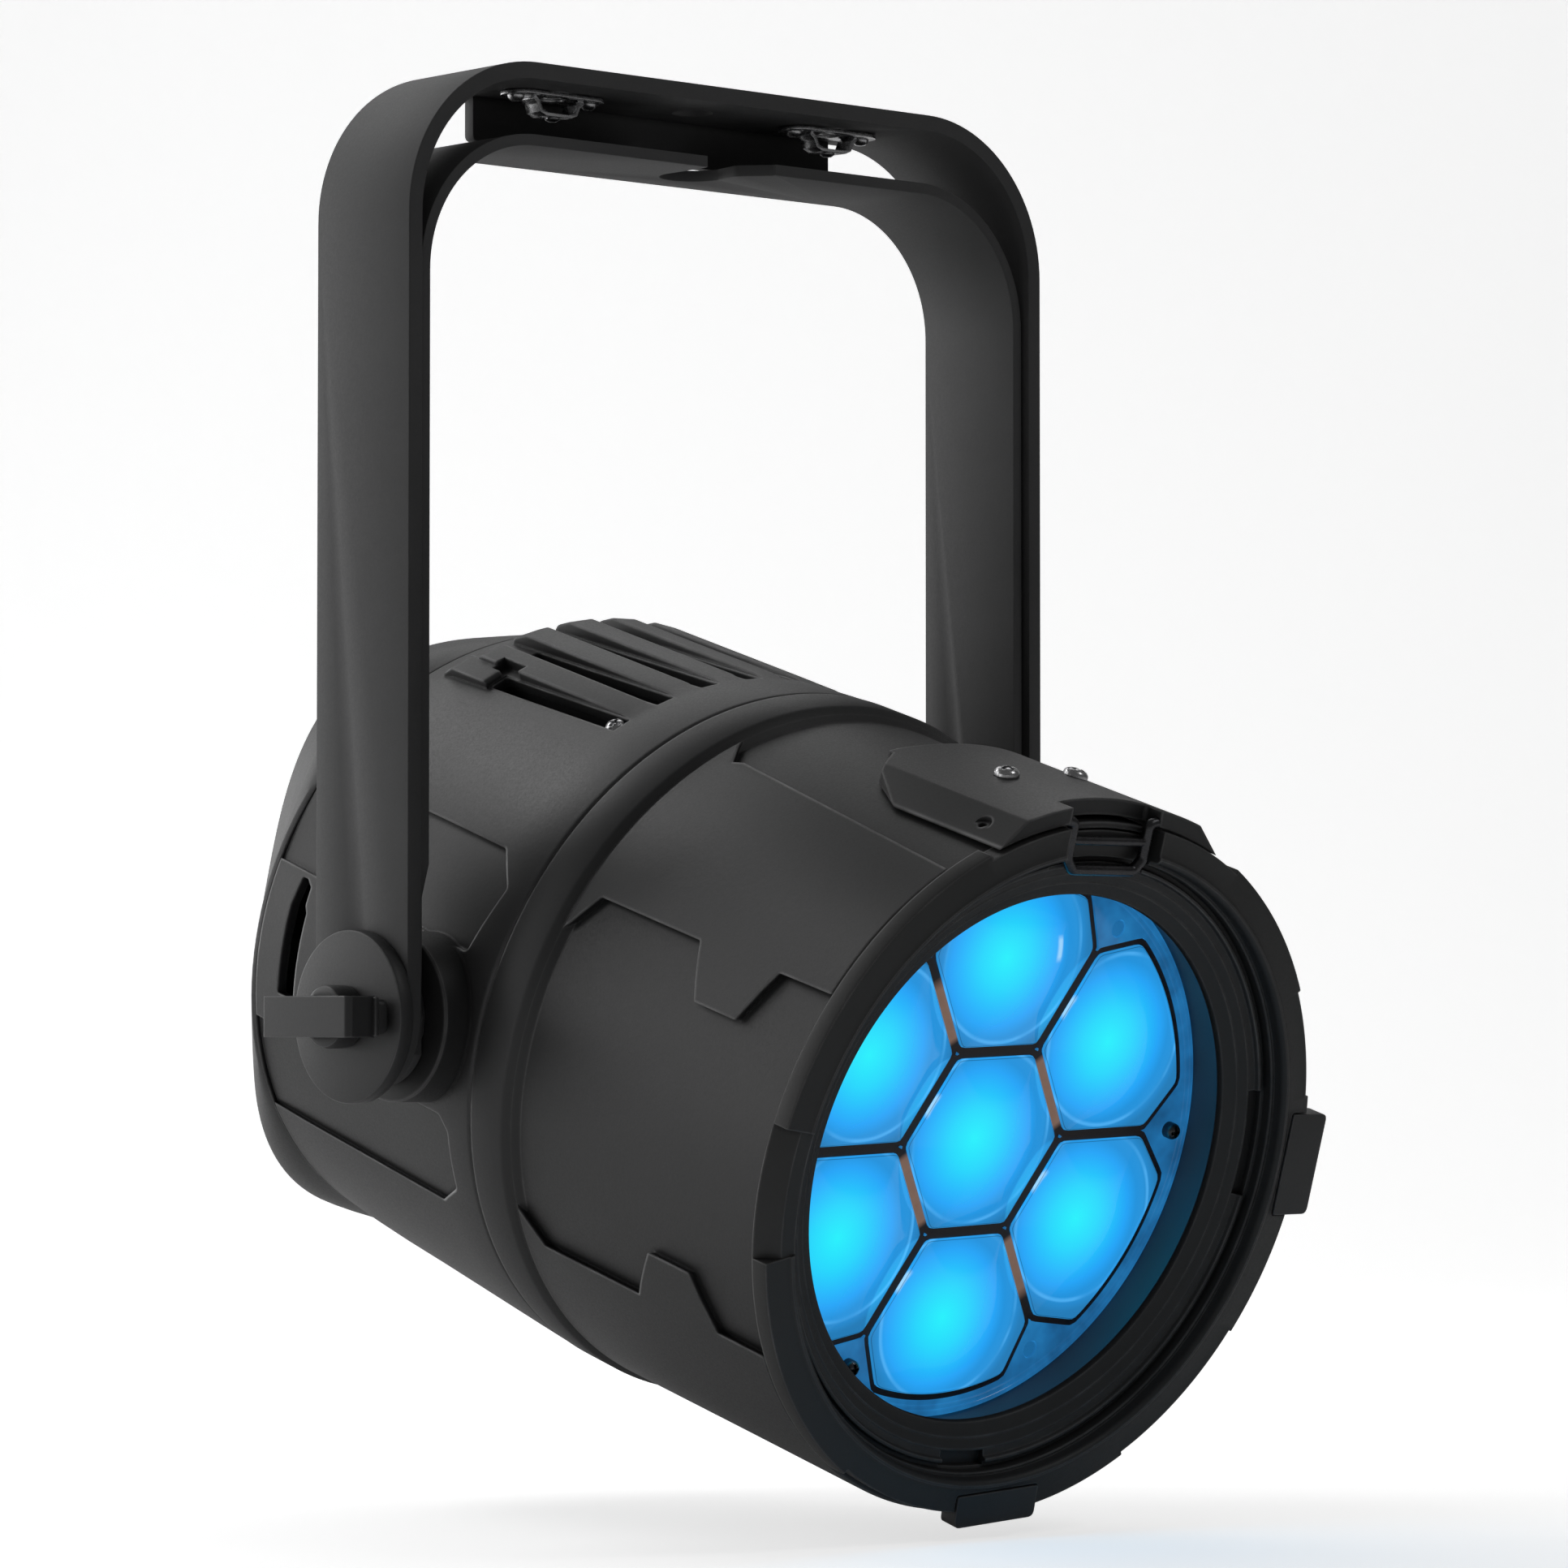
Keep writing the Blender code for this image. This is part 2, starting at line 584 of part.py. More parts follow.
def build_front_tube():
    tube = turned(TUBE_PROFILE, BARREL_STEPS)
    tube = cut_both_sides(tube, side_cutter(SIDE_PANEL, PANEL_CORE, PANEL_MEAN_R))
    left = [(-PANEL_MEAN_R * math.sin(math.radians(angle)), station)
            for station, angle in TOP_PANEL]
    right = [(-x, station) for x, station in reversed(left)]
    recess = cut(outline(left + right, (40, 130), 'XZ'), solid_turned(PANEL_CORE, BARREL_STEPS))
    place(cut(tube, recess), "front_tube", BLACK)


def build_housing_seal():
    place(turned([(103.0, 26.0), (103.0, 34.0), (100.6, 34.0), (100.6, 26.0)], 32),
          "housing_seal", RUBBER)


# ------------------------------------------------------------ accessory plate
PLATE_FLOOR_R = TUBE_R - PANEL_DEPTH + GAP
PLATE_TOP_R = 112.7
# (x, station) cut from each rear corner, right-hand side
PLATE_CORNER = [(28.0, 90), (28.0, 96.0), (37.5, 102.5), (46.0, 121.0), (60, 121), (60, 90)]
PLATE_SCREWS = [("left", 131.0, 7.2), ("right", 128.0, -8.8)]     # name, station, angle


def build_accessory_plate():
    section = arc(0, 0, PLATE_TOP_R, 90 - 18.4, 90 + 18.4, 8) \
        + arc(0, 0, PLATE_FLOOR_R, 90 + 24.6, 90 - 24.6, 8)
    plate = outline(section, (94.0, 165.6))
    for sign in (-1, 1):
        corner = [(x * sign, station) for x, station in PLATE_CORNER]
        plate = cut(plate, outline(corner, (80, 130), 'XZ'))
    plate = cut(plate, box(both(18.5), (90, 130), (158.6, 175)))     # front notch
    for angle in both(21.6):
        plate = cut(plate, radial(cylinder(2.2, (104, 120), 12), 152, angle))
    place(plate, "accessory_plate", BLACK)


def build_plate_screw(side, station, angle):
    screw = turned([(0, 115.3), (1.6, 115.1), (3.0, 114.0), (3.4, 113.0), (0, 113.0)], 10)
    place(radial(screw, station, angle), "plate_screw_" + side, STEEL)


# ------------------------------------------------------------ front bezel
BEZEL_REAR, BEZEL_FRONT = TUBE_FRONT + GAP, 167.6
APERTURE_R = 82.3
RIM_R, LOBE_R = 106.9, 108.5
# (radius, station)
BEZEL_PROFILE = [(LOBE_R, BEZEL_REAR), (LOBE_R, BEZEL_FRONT), (98.0, BEZEL_FRONT),
                 (96.9, 163.6), (92.8, 160.6), (APERTURE_R, 155.7), (APERTURE_R, 153.7),
                 (96.0, 153.7), (98.5, 157.0), (103.6, 157.0), (103.6, BEZEL_REAR)]
LOW_SECTORS = [(-30, 27), (-78, -58.5), (-148, -119.5), (148, 184)]   # rim between the lobes
CLIPS = [("clip_right", -89.6, 115.4), ("clip_bottom", 184.0, 110.8)]   # name, angle, outer v
LEFT_NOTCH = (91.7, 18.2)            # angle, half width
LATCH_V, LATCH_S = 107.0, 163.9


def build_front_bezel():
    bezel = turned(BEZEL_PROFILE, 48)
    for start, end in LOW_SECTORS:
        steps = max(3, int((end - start) / 7))
        bezel = cut(bezel, outline(sector(RIM_R, 118, start, end, steps), (158, 172)))
    # notch for the latch wire
    bezel = cut(bezel, box(both(19.3), (90.0, 120), (161.0, 175)))
    for angle, half in [LEFT_NOTCH] + [(angle, 16.6) for _, angle, _ in CLIPS]:
        bezel = cut(bezel, spin(box(both(half), (100.4, 120), (161.1, 175)), angle))
    place(bezel, "front_bezel", BLACK)


def build_clip(name, angle, outer):
    clip = box(both(16.2), (100.8, outer), (161.8, 168.2), bevel=0.9)
    place(spin(clip, angle), name, PLASTIC)


def build_latch_wire():
    """D-shaped wire hanging in the top notch of the bezel."""
    left = [(-18.1, LATCH_V), (-15.6, LATCH_V), (-15.6, 99.0)] + arc(-10.2, 97.6, 5.4, 180, 270, 4)
    path = left + [(-x, v) for x, v in reversed(left)]
    wire = poly_curve([(x, v, LATCH_S) for x, v in path], '3D', cyclic=False)
    wire.data.bevel_depth = 1.45 * MM
    wire.data.bevel_resolution = 2
    wire.data.use_fill_caps = True
    place(bake(wire), "latch_wire", STEEL, origin=(0, LATCH_V, LATCH_S))


# ------------------------------------------------------------ lens carriage
CELL_GAP = 1.45           # half the groove between two cells
LENS_OUT_R = 80.0
WELL_FLOOR = 131.0
LENS_SEAT, LENS_EDGE, LENS_CROWN = WELL_FLOOR + GAP, 138.0, 146.6
CARRIER_R, CARRIER_REAR = 87.4, 127.0
CENTRES = [(0.0, 0.0)] + [polar(CELL_R * math.sqrt(3), 30 + 60 * k + LENS_TURN) for k in range(6)]
ROD_R, ROD_FRONT = 2.6, 137.8
MOTOR_REAR, MOTOR_FRONT = BOARD_FRONT + GAP, 49.3


def cell_outline(i, grow):
    """Outline of one lens cell: a hexagon in the middle; the outer cells have
    wider outer corners."""
    half = CELL_R * math.cos(math.radians(30)) - CELL_GAP + grow
    # sides as (direction of the normal, distance from the cell centre)
    if i == 0:
        sides = [(30 + 60 * k, half) for k in range(6)]
    else:
        sides = [(180, half), (240, half), (120, half), (0, 40.0),
                 (-68.7, 31.1 + grow), (68.7, 31.1 + grow)]
        sides = [(angle + 30 + 60 * (i - 1), distance) for angle, distance in sides]
    sides = sorted(((angle + LENS_TURN) % 360, distance) for angle, distance in sides)
    centre_x, centre_y = CENTRES[i]
    corners = []
    for (angle_a, dist_a), (angle_b, dist_b) in zip(sides, sides[1:] + sides[:1]):
        cos_a, sin_a = polar(1, angle_a)
        cos_b, sin_b = polar(1, angle_b)
        det = cos_a * sin_b - sin_a * cos_b
        corners.append(((dist_a * sin_b - dist_b * sin_a) / det + centre_x,
                        (dist_b * cos_a - dist_a * cos_b) / det + centre_y))
    return corners


def trim_outer(cell, i, radius):
    """Round off an outer cell to the edge of the cluster."""
    return common(cell, cylinder(radius, (120, 160), 60)) if i else cell


def build_lens_sleeve():
    place(turned([(90.3, 34.0), (90.3, 153.3), (88.3, 153.3), (88.3, 34.0)], 40),
          "lens_sleeve", PLASTIC)


def build_lens_carrier():
    carrier = solid_turned([(CARRIER_R, CARRIER_REAR), (CARRIER_R, FLANGE_TOP)], 40)
    for i in range(7):
        well = outline(cell_outline(i, 0.9), (WELL_FLOOR, 142.0))
        carrier = cut(carrier, trim_outer(well, i, LENS_OUT_R + 1.8))
    for centre in CENTRES:
        carrier = cut(carrier, cylinder(22.0, (120, 140), 14, at=centre))
    for angle in ROD_ANGLES.values():
        carrier = cut(carrier, cylinder(3.1, (120, 142), 8, at=polar(ROD_PCD_R, angle)))
    place(carrier, "lens_carrier", PLASTIC)


def build_lens_cell(i):
    """Lens cell with a spherical crown that reaches LENS_EDGE at its corners."""
    x, y = CENTRES[i]
    dome_h = LENS_CROWN - LENS_EDGE
    corner_r = CELL_R - CELL_GAP / math.cos(math.radians(30))
    dome_r = (corner_r ** 2 + dome_h ** 2) / (2 * dome_h)
    ball = bmesh.new()
    bmesh.ops.create_uvsphere(ball, u_segments=18, v_segments=24, radius=dome_r * MM)
    bmesh.ops.translate(ball, verts=ball.verts, vec=(x * MM, y * MM, (LENS_CROWN - dome_r) * MM))
    cell = common(outline(cell_outline(i, 0.0), (LENS_SEAT, LENS_CROWN + 4)), wrap(ball))
    place(trim_outer(cell, i, LENS_OUT_R), "lens_cell_%d" % i, LENS, origin=(x, y, LENS_SEAT))


def build_lens_screw(i):
    seat = FLANGE_TOP + 0.2
    screw = turned([(0, 142.0), (1.5, 141.8), (2.7, 140.7), (2.7, seat), (0, seat)], 10)
    place(moved(screw, shift(*polar(ROD_PCD_R, 120 * i + LENS_TURN), 0)),
          "lens_screw_%d" % i, STEEL)


def build_zoom_drive():
    x, y = polar(ROD_PCD_R, ROD_ANGLES["screw"])
    place(box((x - 10, x + 10), (y - 10, y + 10), (MOTOR_REAR, MOTOR_FRONT), bevel=1.0),
          "zoom_motor", STEEL)
    screw_rear = MOTOR_FRONT + GAP
    place(cylinder(ROD_R, (screw_rear, ROD_FRONT), 10, at=(x, y)), "zoom_lead_screw", STEEL,
          origin=(x, y, screw_rear))
    for name in ("upper", "lower"):
        place(cylinder(ROD_R, (MOTOR_REAR, ROD_FRONT), 10, at=polar(ROD_PCD_R, ROD_ANGLES[name])),
              "guide_rod_" + name, STEEL)


# ------------------------------------------------------------ light engine
SINK_FRONT = 30.3
FIN_PITCH, FIN_HALF = 15.0, 1.3
FAN_S = -63.5             # middle of the fan rotor
FAN_BLADES = 7


def build_led_board():
    board = cylinder(86.0, (SINK_FRONT + GAP, BOARD_FRONT), 32)
    for x, y in CENTRES:
        emitter = turned([(0, 39.0), (8.0, 37.0), (10.6, 32.0), (0, 32.0)], 10)
        board = join(board, moved(emitter, shift(x, y, 0)))
    place(board, "led_board", BOARD)


def build_heat_sink():
    sink = cylinder(84.0, (22.0, SINK_FRONT), 32)
    for k in range(-5, 6):
        x = k * FIN_PITCH
        height = math.sqrt(96.0 ** 2 - x ** 2) - 3.0
        sink = join(sink, box((x - FIN_HALF, x + FIN_HALF), both(height), (-48.0, 23.5)))
    place(sink, "heat_sink", ANODISED)


def build_fan():
    ring = turned([(62.0, -78.0), (62.0, -52.0), (57.5, -52.0), (57.5, -78.0)], 28)
    for angle, rear in ((45, -77.6), (135, -77.3)):      # crossed struts
        ring = join(ring, spin(box(both(60), both(2), (rear, rear + 2.0)), angle))
    place(ring, "fan_frame", PLASTIC)
    rotor = cylinder(19.0, (-73.5, -54.0), 14)
    for k in range(FAN_BLADES):
        blade = box(both(1.1), (16.0, 55.5), both(9.0))
        blade = moved(blade, shift(0, 0, FAN_S) @ turn_about('Y', 48))
        rotor = join(rotor, spin(blade, k * 360 / FAN_BLADES))
    place(rotor, "fan_rotor", PLASTIC, origin=(0, 0, FAN_S))


def build_power_supply():
    supply = box(both(42), (-46, 6), (-124, -94))
    for k in range(-3, 4):     # raised bars on the front face
        supply = join(supply, box((k * 11 - 1.5, k * 11 + 1.5), (-38, -2), (-96, -90)))
    place(supply, "power_supply", ALU)


def build_control_board():
    board = box(both(34), (22, 69.5), (-141.6, -140.0))
    rear_block = box(both(24), (47, 69), (-145.6, -141.0))
    front_block = box(both(12), (28, 42), (-140.6, -136.5))
    place(join(board, rear_block, front_block), "control_board", BOARD)


# ------------------------------------------------------------ rear controls
# (radius, station)
BUTTON_PROFILE = [(0, -152.2), (3.3, -152.2), (3.7, -151.6), (3.7, -146.6), (5.2, -146.4),
                  (5.2, -144.8), (0, -144.8)]


def build_display_window():
    place(box(both(DISPLAY_HALF - GAP), (DISPLAY_LOW + GAP, DISPLAY_HIGH - GAP),
              (-149.6, -147.2)), "display_window", WINDOW)


def build_button(name, x):
    place(moved(turned(BUTTON_PROFILE, 10), shift(x, BUTTON_V, 0)), "button_" + name, RUBBER,
          origin=(x, BUTTON_V, -150.0))


def build_plug(name, x, v, hole_r):
    """Hollow socket with a collar behind the cap."""
    bore, collar, body = hole_r - 3.2, hole_r + 2.2, hole_r - 0.6
    plug = turned([(0, -143.0), (bore, -143.0), (bore, -152.4), (collar, -152.4),
                   (collar, -150.3), (body, -150.3), (body, -134.0), (0, -134.0)], 16)
    place(moved(plug, shift(x, v, 0)), name, PLASTIC)


# ------------------------------------------------------------ the whole fixture
build_outer_yoke()
build_inner_yoke()
for side, sign in SIDES:
    build_receptacle(side, sign * STUD_X)
    build_pivot(side, sign)
    build_vent_screw(side, -sign * STUB_ANGLE)
build_rear_housing()
build_rear_cap()
build_front_tube()
build_housing_seal()
build_accessory_plate()
for row in PLATE_SCREWS:
    build_plate_screw(*row)
build_front_bezel()
for row in CLIPS:
    build_clip(*row)
build_latch_wire()
build_lens_sleeve()
build_lens_carrier()
for i in range(7):
    build_lens_cell(i)
for i in range(3):
    build_lens_screw(i)
build_zoom_drive()
build_led_board()
build_heat_sink()
build_fan()
build_power_supply()
build_control_board()
build_display_window()
for row in BUTTONS:
    build_button(*row)
for row in PLUGS:
    build_plug(*row)

bpy.data.collections.remove(WORK)
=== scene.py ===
"""Par can light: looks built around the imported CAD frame.

Pieces are modelled in millimetres in one of two frames and then baked into
the row frame. Seen from the front:
  HEAD  x right, v up across the barrel, s forwards along the barrel
        (held as X, Y, Z); the barrel tips down towards -Y at the front
  YOKE  X, Y, Z from the middle of the tilt axis, straps rising along +Z
Angles round the barrel run from the top, counter-clockwise from the front.
"""
import bpy
import bmesh
import json
import math
from mathutils import Matrix, Vector

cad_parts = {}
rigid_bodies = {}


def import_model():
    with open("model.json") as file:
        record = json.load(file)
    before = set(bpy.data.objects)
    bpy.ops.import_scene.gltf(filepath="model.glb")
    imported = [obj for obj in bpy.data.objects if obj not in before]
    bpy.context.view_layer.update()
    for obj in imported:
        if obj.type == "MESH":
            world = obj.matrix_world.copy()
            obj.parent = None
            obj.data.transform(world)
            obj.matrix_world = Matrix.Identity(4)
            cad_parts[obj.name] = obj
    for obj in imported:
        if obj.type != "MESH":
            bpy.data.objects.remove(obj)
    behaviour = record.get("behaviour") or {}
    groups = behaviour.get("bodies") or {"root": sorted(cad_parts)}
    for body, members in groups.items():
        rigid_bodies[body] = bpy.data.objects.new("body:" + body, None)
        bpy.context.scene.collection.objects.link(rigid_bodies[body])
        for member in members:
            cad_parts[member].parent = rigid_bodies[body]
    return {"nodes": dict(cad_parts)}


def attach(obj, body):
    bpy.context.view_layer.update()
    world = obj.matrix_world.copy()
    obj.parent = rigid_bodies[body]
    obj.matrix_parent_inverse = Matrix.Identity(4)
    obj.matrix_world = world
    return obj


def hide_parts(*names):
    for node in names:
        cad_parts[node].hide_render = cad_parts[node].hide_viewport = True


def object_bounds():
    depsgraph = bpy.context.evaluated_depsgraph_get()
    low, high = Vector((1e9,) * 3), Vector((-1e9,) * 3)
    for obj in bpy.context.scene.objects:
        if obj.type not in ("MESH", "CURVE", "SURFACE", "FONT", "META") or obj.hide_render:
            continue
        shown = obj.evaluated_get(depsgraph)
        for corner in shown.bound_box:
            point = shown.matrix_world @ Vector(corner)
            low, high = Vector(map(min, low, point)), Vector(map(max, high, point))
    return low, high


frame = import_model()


def bounds():
    return [list(map(float, corner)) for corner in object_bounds()]


CAD_BOX = bounds()
MM = 0.001
STEPS = 240      # segments of the large turned pieces

PIVOT = Vector((0.0, 13.58, -69.95)) * MM
TILT = math.radians(16.8)
AXIS_LIFT = 2.4                         # barrel axis above the tilt axis
AX_X = Vector((1, 0, 0))
AX_V = Vector((0, -math.sin(TILT), math.cos(TILT)))
AX_S = Vector((0, -math.cos(TILT), -math.sin(TILT)))
HEAD_MID = PIVOT + AX_V * AXIS_LIFT * MM
YOKE = Matrix.Translation(PIVOT)
HEAD = Matrix.Translation(HEAD_MID) @ Matrix((AX_X, AX_V, AX_S)).transposed().to_4x4()

PIVOT_HOLE = 5.2                        # radius
CLUSTER_TURN = 2.2                      # degrees the lens cluster is turned in its carrier

scene = bpy.context.scene
WORK = bpy.data.collections.new("work")
LOOKS = bpy.data.collections.new("looks")
for collection in (WORK, LOOKS):
    scene.collection.children.link(collection)


def polar(radius, degrees):
    angle = math.radians(degrees)
    return radius * math.cos(angle), radius * math.sin(angle)


def across(degrees):
    """Direction in the barrel's cross-section, measured from x towards v."""
    x, v = polar(1.0, degrees)
    return AX_X * x + AX_V * v


# ====================================================== materials
class Shader:
    """A material with short calls for building its nodes."""

    def __init__(self, name):
        self.material = bpy.data.materials.new(name)
        self.material.use_nodes = True
        self.tree = self.material.node_tree

    def feed(self, socket, value):
        """Link a socket to an output, or set it to a number, vector or RGB colour."""
        if isinstance(value, bpy.types.NodeSocket):
            self.tree.links.new(value, socket)
        elif socket.type == 'RGBA':
            socket.default_value = (*value, 1.0)
        else:
            socket.default_value = value

    def node(self, kind, feeds=None, **props):
        node = self.tree.nodes.new("ShaderNode" + kind)
        for name, value in props.items():
            setattr(node, name, value)
        for name, value in (feeds or {}).items():
            self.feed(node.inputs[name], value)
        return node

    def surface(self, feeds):
        """Set inputs of the Principled BSDF."""
        inputs = self.tree.nodes["Principled BSDF"].inputs
        for name, value in feeds.items():
            self.feed(inputs[name], value)

    def position(self):
        return self.node("NewGeometry").outputs["Position"]

    def object_place(self):
        return self.node("TexCoord").outputs["Object"]

    def attribute(self, name, output):
        return self.node("Attribute", attribute_name=name).outputs[output]

    def noise(self, place, scale, detail, rough):
        feeds = {"Vector": place, "Scale": scale, "Detail": detail, "Roughness": rough}
        return self.node("TexNoise", feeds).outputs["Fac"]

    def ramp(self, factor, stops):
        node = self.node("ValToRGB", {"Fac": factor})
        elements = node.color_ramp.elements
        while len(elements) < len(stops):
            elements.new(0.5)
        for element, (position, colour) in zip(elements, stops):
            element.position = position
            element.color = (*colour, 1.0)
        return node.outputs["Color"]

    def math(self, operation, first, second=None, clamp=False):
        feeds = {0: first}
        if second is not None:
            feeds[1] = second
        return self.node("Math", feeds, operation=operation, use_clamp=clamp).outputs[0]

    def times(self, first, *rest, clamp=False):
        for factor in rest:
            first = self.math('MULTIPLY', first, factor, clamp)
        return first

    def vector(self, operation, first, second=None, scale=None):
        feeds = {0: first}
        if second is not None:
            feeds[1] = second
        if scale is not None:
            feeds["Scale"] = scale
        node = self.node("VectorMath", feeds, operation=operation)
        return node.outputs["Value" if operation in ('DOT_PRODUCT', 'LENGTH') else "Vector"]

    def along(self, place, direction):
        """Distance from the middle of the head along a direction."""
        return self.vector('DOT_PRODUCT', self.vector('SUBTRACT', place, HEAD_MID), direction)

    def mix(self, factor, first, second, blend='MIX'):
        feeds = {"Factor": factor, "A": first, "B": second}
        return self.node("Mix", feeds, data_type='RGBA', blend_type=blend).outputs["Result"]

    def remap(self, value, span, to=(0.0, 1.0)):
        feeds = {"Value": value, "From Min": span[0], "From Max": span[1],
                 "To Min": to[0], "To Max": to[1]}
        return self.node("MapRange", feeds).outputs[0]

    def bevel(self, radius):
        return self.node("Bevel", {"Radius": radius}, samples=4).outputs[0]

    def bump(self, height, strength, distance, normal=None):
        feeds = {"Height": height, "Strength": strength, "Distance": distance}
        if normal is not None:
            feeds["Normal"] = normal
        return self.node("Bump", feeds).outputs[0]


def scaled(colour, factor, lift=0.0):
    return tuple(min(1.0, channel * factor + lift) for channel in colour)


def coat(name, base, rough, grain, edge, highlight, specular=0.5):
    """Powder coat or moulded plastic: fine orange-peel grain, soft rounded
    edges (radius in metres), slight colour drift, a painted highlight along
    open edges and painted shade in inner corners."""
    net = Shader(name)
    geometry = net.node("NewGeometry").outputs
    place = geometry["Position"]
    drift = net.noise(place, scale=9.0, detail=4.0, rough=0.6)
    patches = net.noise(place, scale=70.0, detail=3.0, rough=0.6)
    fine = net.noise(place, scale=1500.0, detail=2.0, rough=0.6)
    pits = net.noise(place, scale=520.0, detail=2.0, rough=0.5)

    # painted highlight on edges: where the rounded normal leaves the flat one, in patches
    soft_normal = net.bevel(edge)
    agreement = net.vector('DOT_PRODUCT', soft_normal, geometry["Normal"])
    edges = net.remap(agreement, span=(0.995, 0.86))
    highlight_patches = net.remap(patches, span=(0.42, 0.62), to=(0.55, 1.0))
    # painted shade in inner corners: only open edges get the painted highlight
    feeds = {"Distance": 0.0022, "Normal": geometry["True Normal"]}
    occlusion = net.node("AmbientOcclusion", feeds, samples=3, only_local=True).outputs["AO"]
    exposed = net.remap(occlusion, span=(0.80, 0.97))
    edge_highlight = net.times(net.times(edges, exposed, highlight_patches, clamp=True), highlight)

    tint = net.mix(net.remap(drift, span=(0.35, 0.65)), scaled(base, 0.88), scaled(base, 1.14))
    # painted highlight: open edges lightened towards three times the base colour
    highlighted = net.mix(edge_highlight, tint, scaled(base, 3.0, lift=0.17))
    # painted shade: inner corners darkened towards 0.15 of the base colour
    corners = net.remap(occlusion, span=(0.35, 0.88), to=(0.75, 0.0))
    grain_rough = net.remap(fine, span=(0.3, 0.7), to=(rough - 0.05, rough + 0.06))
    drift_rough = net.times(net.math('SUBTRACT', drift, 0.5), 0.10)
    roughness = net.math('ADD', grain_rough, drift_rough)
    height = net.math('ADD', net.times(fine, 0.5), pits)
    net.surface({
        "Base Color": net.mix(corners, highlighted, scaled(base, 0.15)),
        "Roughness": net.math('SUBTRACT', roughness, net.times(edge_highlight, 0.12)),
        # painted shade: reflections dimmed in inner corners
        "Specular IOR Level": net.remap(occlusion, span=(0.35, 0.9),
                                        to=(specular * 0.25, specular)),
        "Normal": net.bump(height, strength=0.10 * grain, distance=0.0004, normal=soft_normal)})
    return net.material


def metal(name, base, rough, brush=(1, 1, 14)):
    """Brushed metal; brush stretches the grain along each axis."""
    net = Shader(name)
    place = net.position()
    stretched = net.node("Mapping", {"Vector": place, "Scale": brush}).outputs[0]
    lines = net.noise(stretched, scale=420.0, detail=3.0, rough=0.7)
    drift = net.noise(place, scale=60.0, detail=4.0, rough=0.6)
    roughness = net.remap(lines, span=(0.3, 0.7), to=(rough * 0.75, rough * 1.3))
    net.surface({
        "Base Color": net.mix(net.remap(drift, span=(0.3, 0.7)), scaled(base, 0.8), base),
        "Metallic": 1.0,
        "Roughness": net.math('ADD', roughness,
                              net.times(net.math('SUBTRACT', drift, 0.5), 0.12)),
        "Normal": net.bump(lines, strength=0.12, distance=0.0002, normal=net.bevel(0.0003))})
    return net


def board_material():
    """Circuit board with a blocky green pattern."""
    net = Shader("circuit_board")
    blocks = net.node("TexVoronoi", {"Scale": 260.0, "Vector": net.position()},
                      distance='CHEBYCHEV', feature='F1').outputs["Distance"]
    net.surface({
        "Base Color": net.mix(net.remap(blocks, span=(0.2, 0.35)),
                              (0.03, 0.12, 0.06), (0.012, 0.055, 0.03)),
        "Roughness": 0.35,
        "Normal": net.bump(blocks, strength=0.2, distance=0.0002)})
    return net.material


# glow colour against distance from the middle of a cell, as a share of GLOW_REACH
GLOW_REACH = 0.032
GLOW_STOPS = [
    (0.0, (0.0175, 0.90, 1.0)), (0.16, (0.0175, 0.80, 1.0)), (0.31, (0.0175, 0.70, 1.0)),
    (0.43, (0.018, 0.59, 1.0)), (0.55, (0.019, 0.485, 1.0)), (0.675, (0.020, 0.386, 0.96)),
    (0.80, (0.019, 0.300, 0.74)), (0.90, (0.024, 0.300, 0.72)), (1.0, (0.018, 0.225, 0.54))]
# brightness against the mesh attribute "glow": 0 on the dome, 1 at the foot of the wall
WALL_STOPS = [(position, (level,) * 3) for position, level in
              ((0.0, 1), (0.30, 0.30), (0.60, 1.10), (1.0, 0.05))]


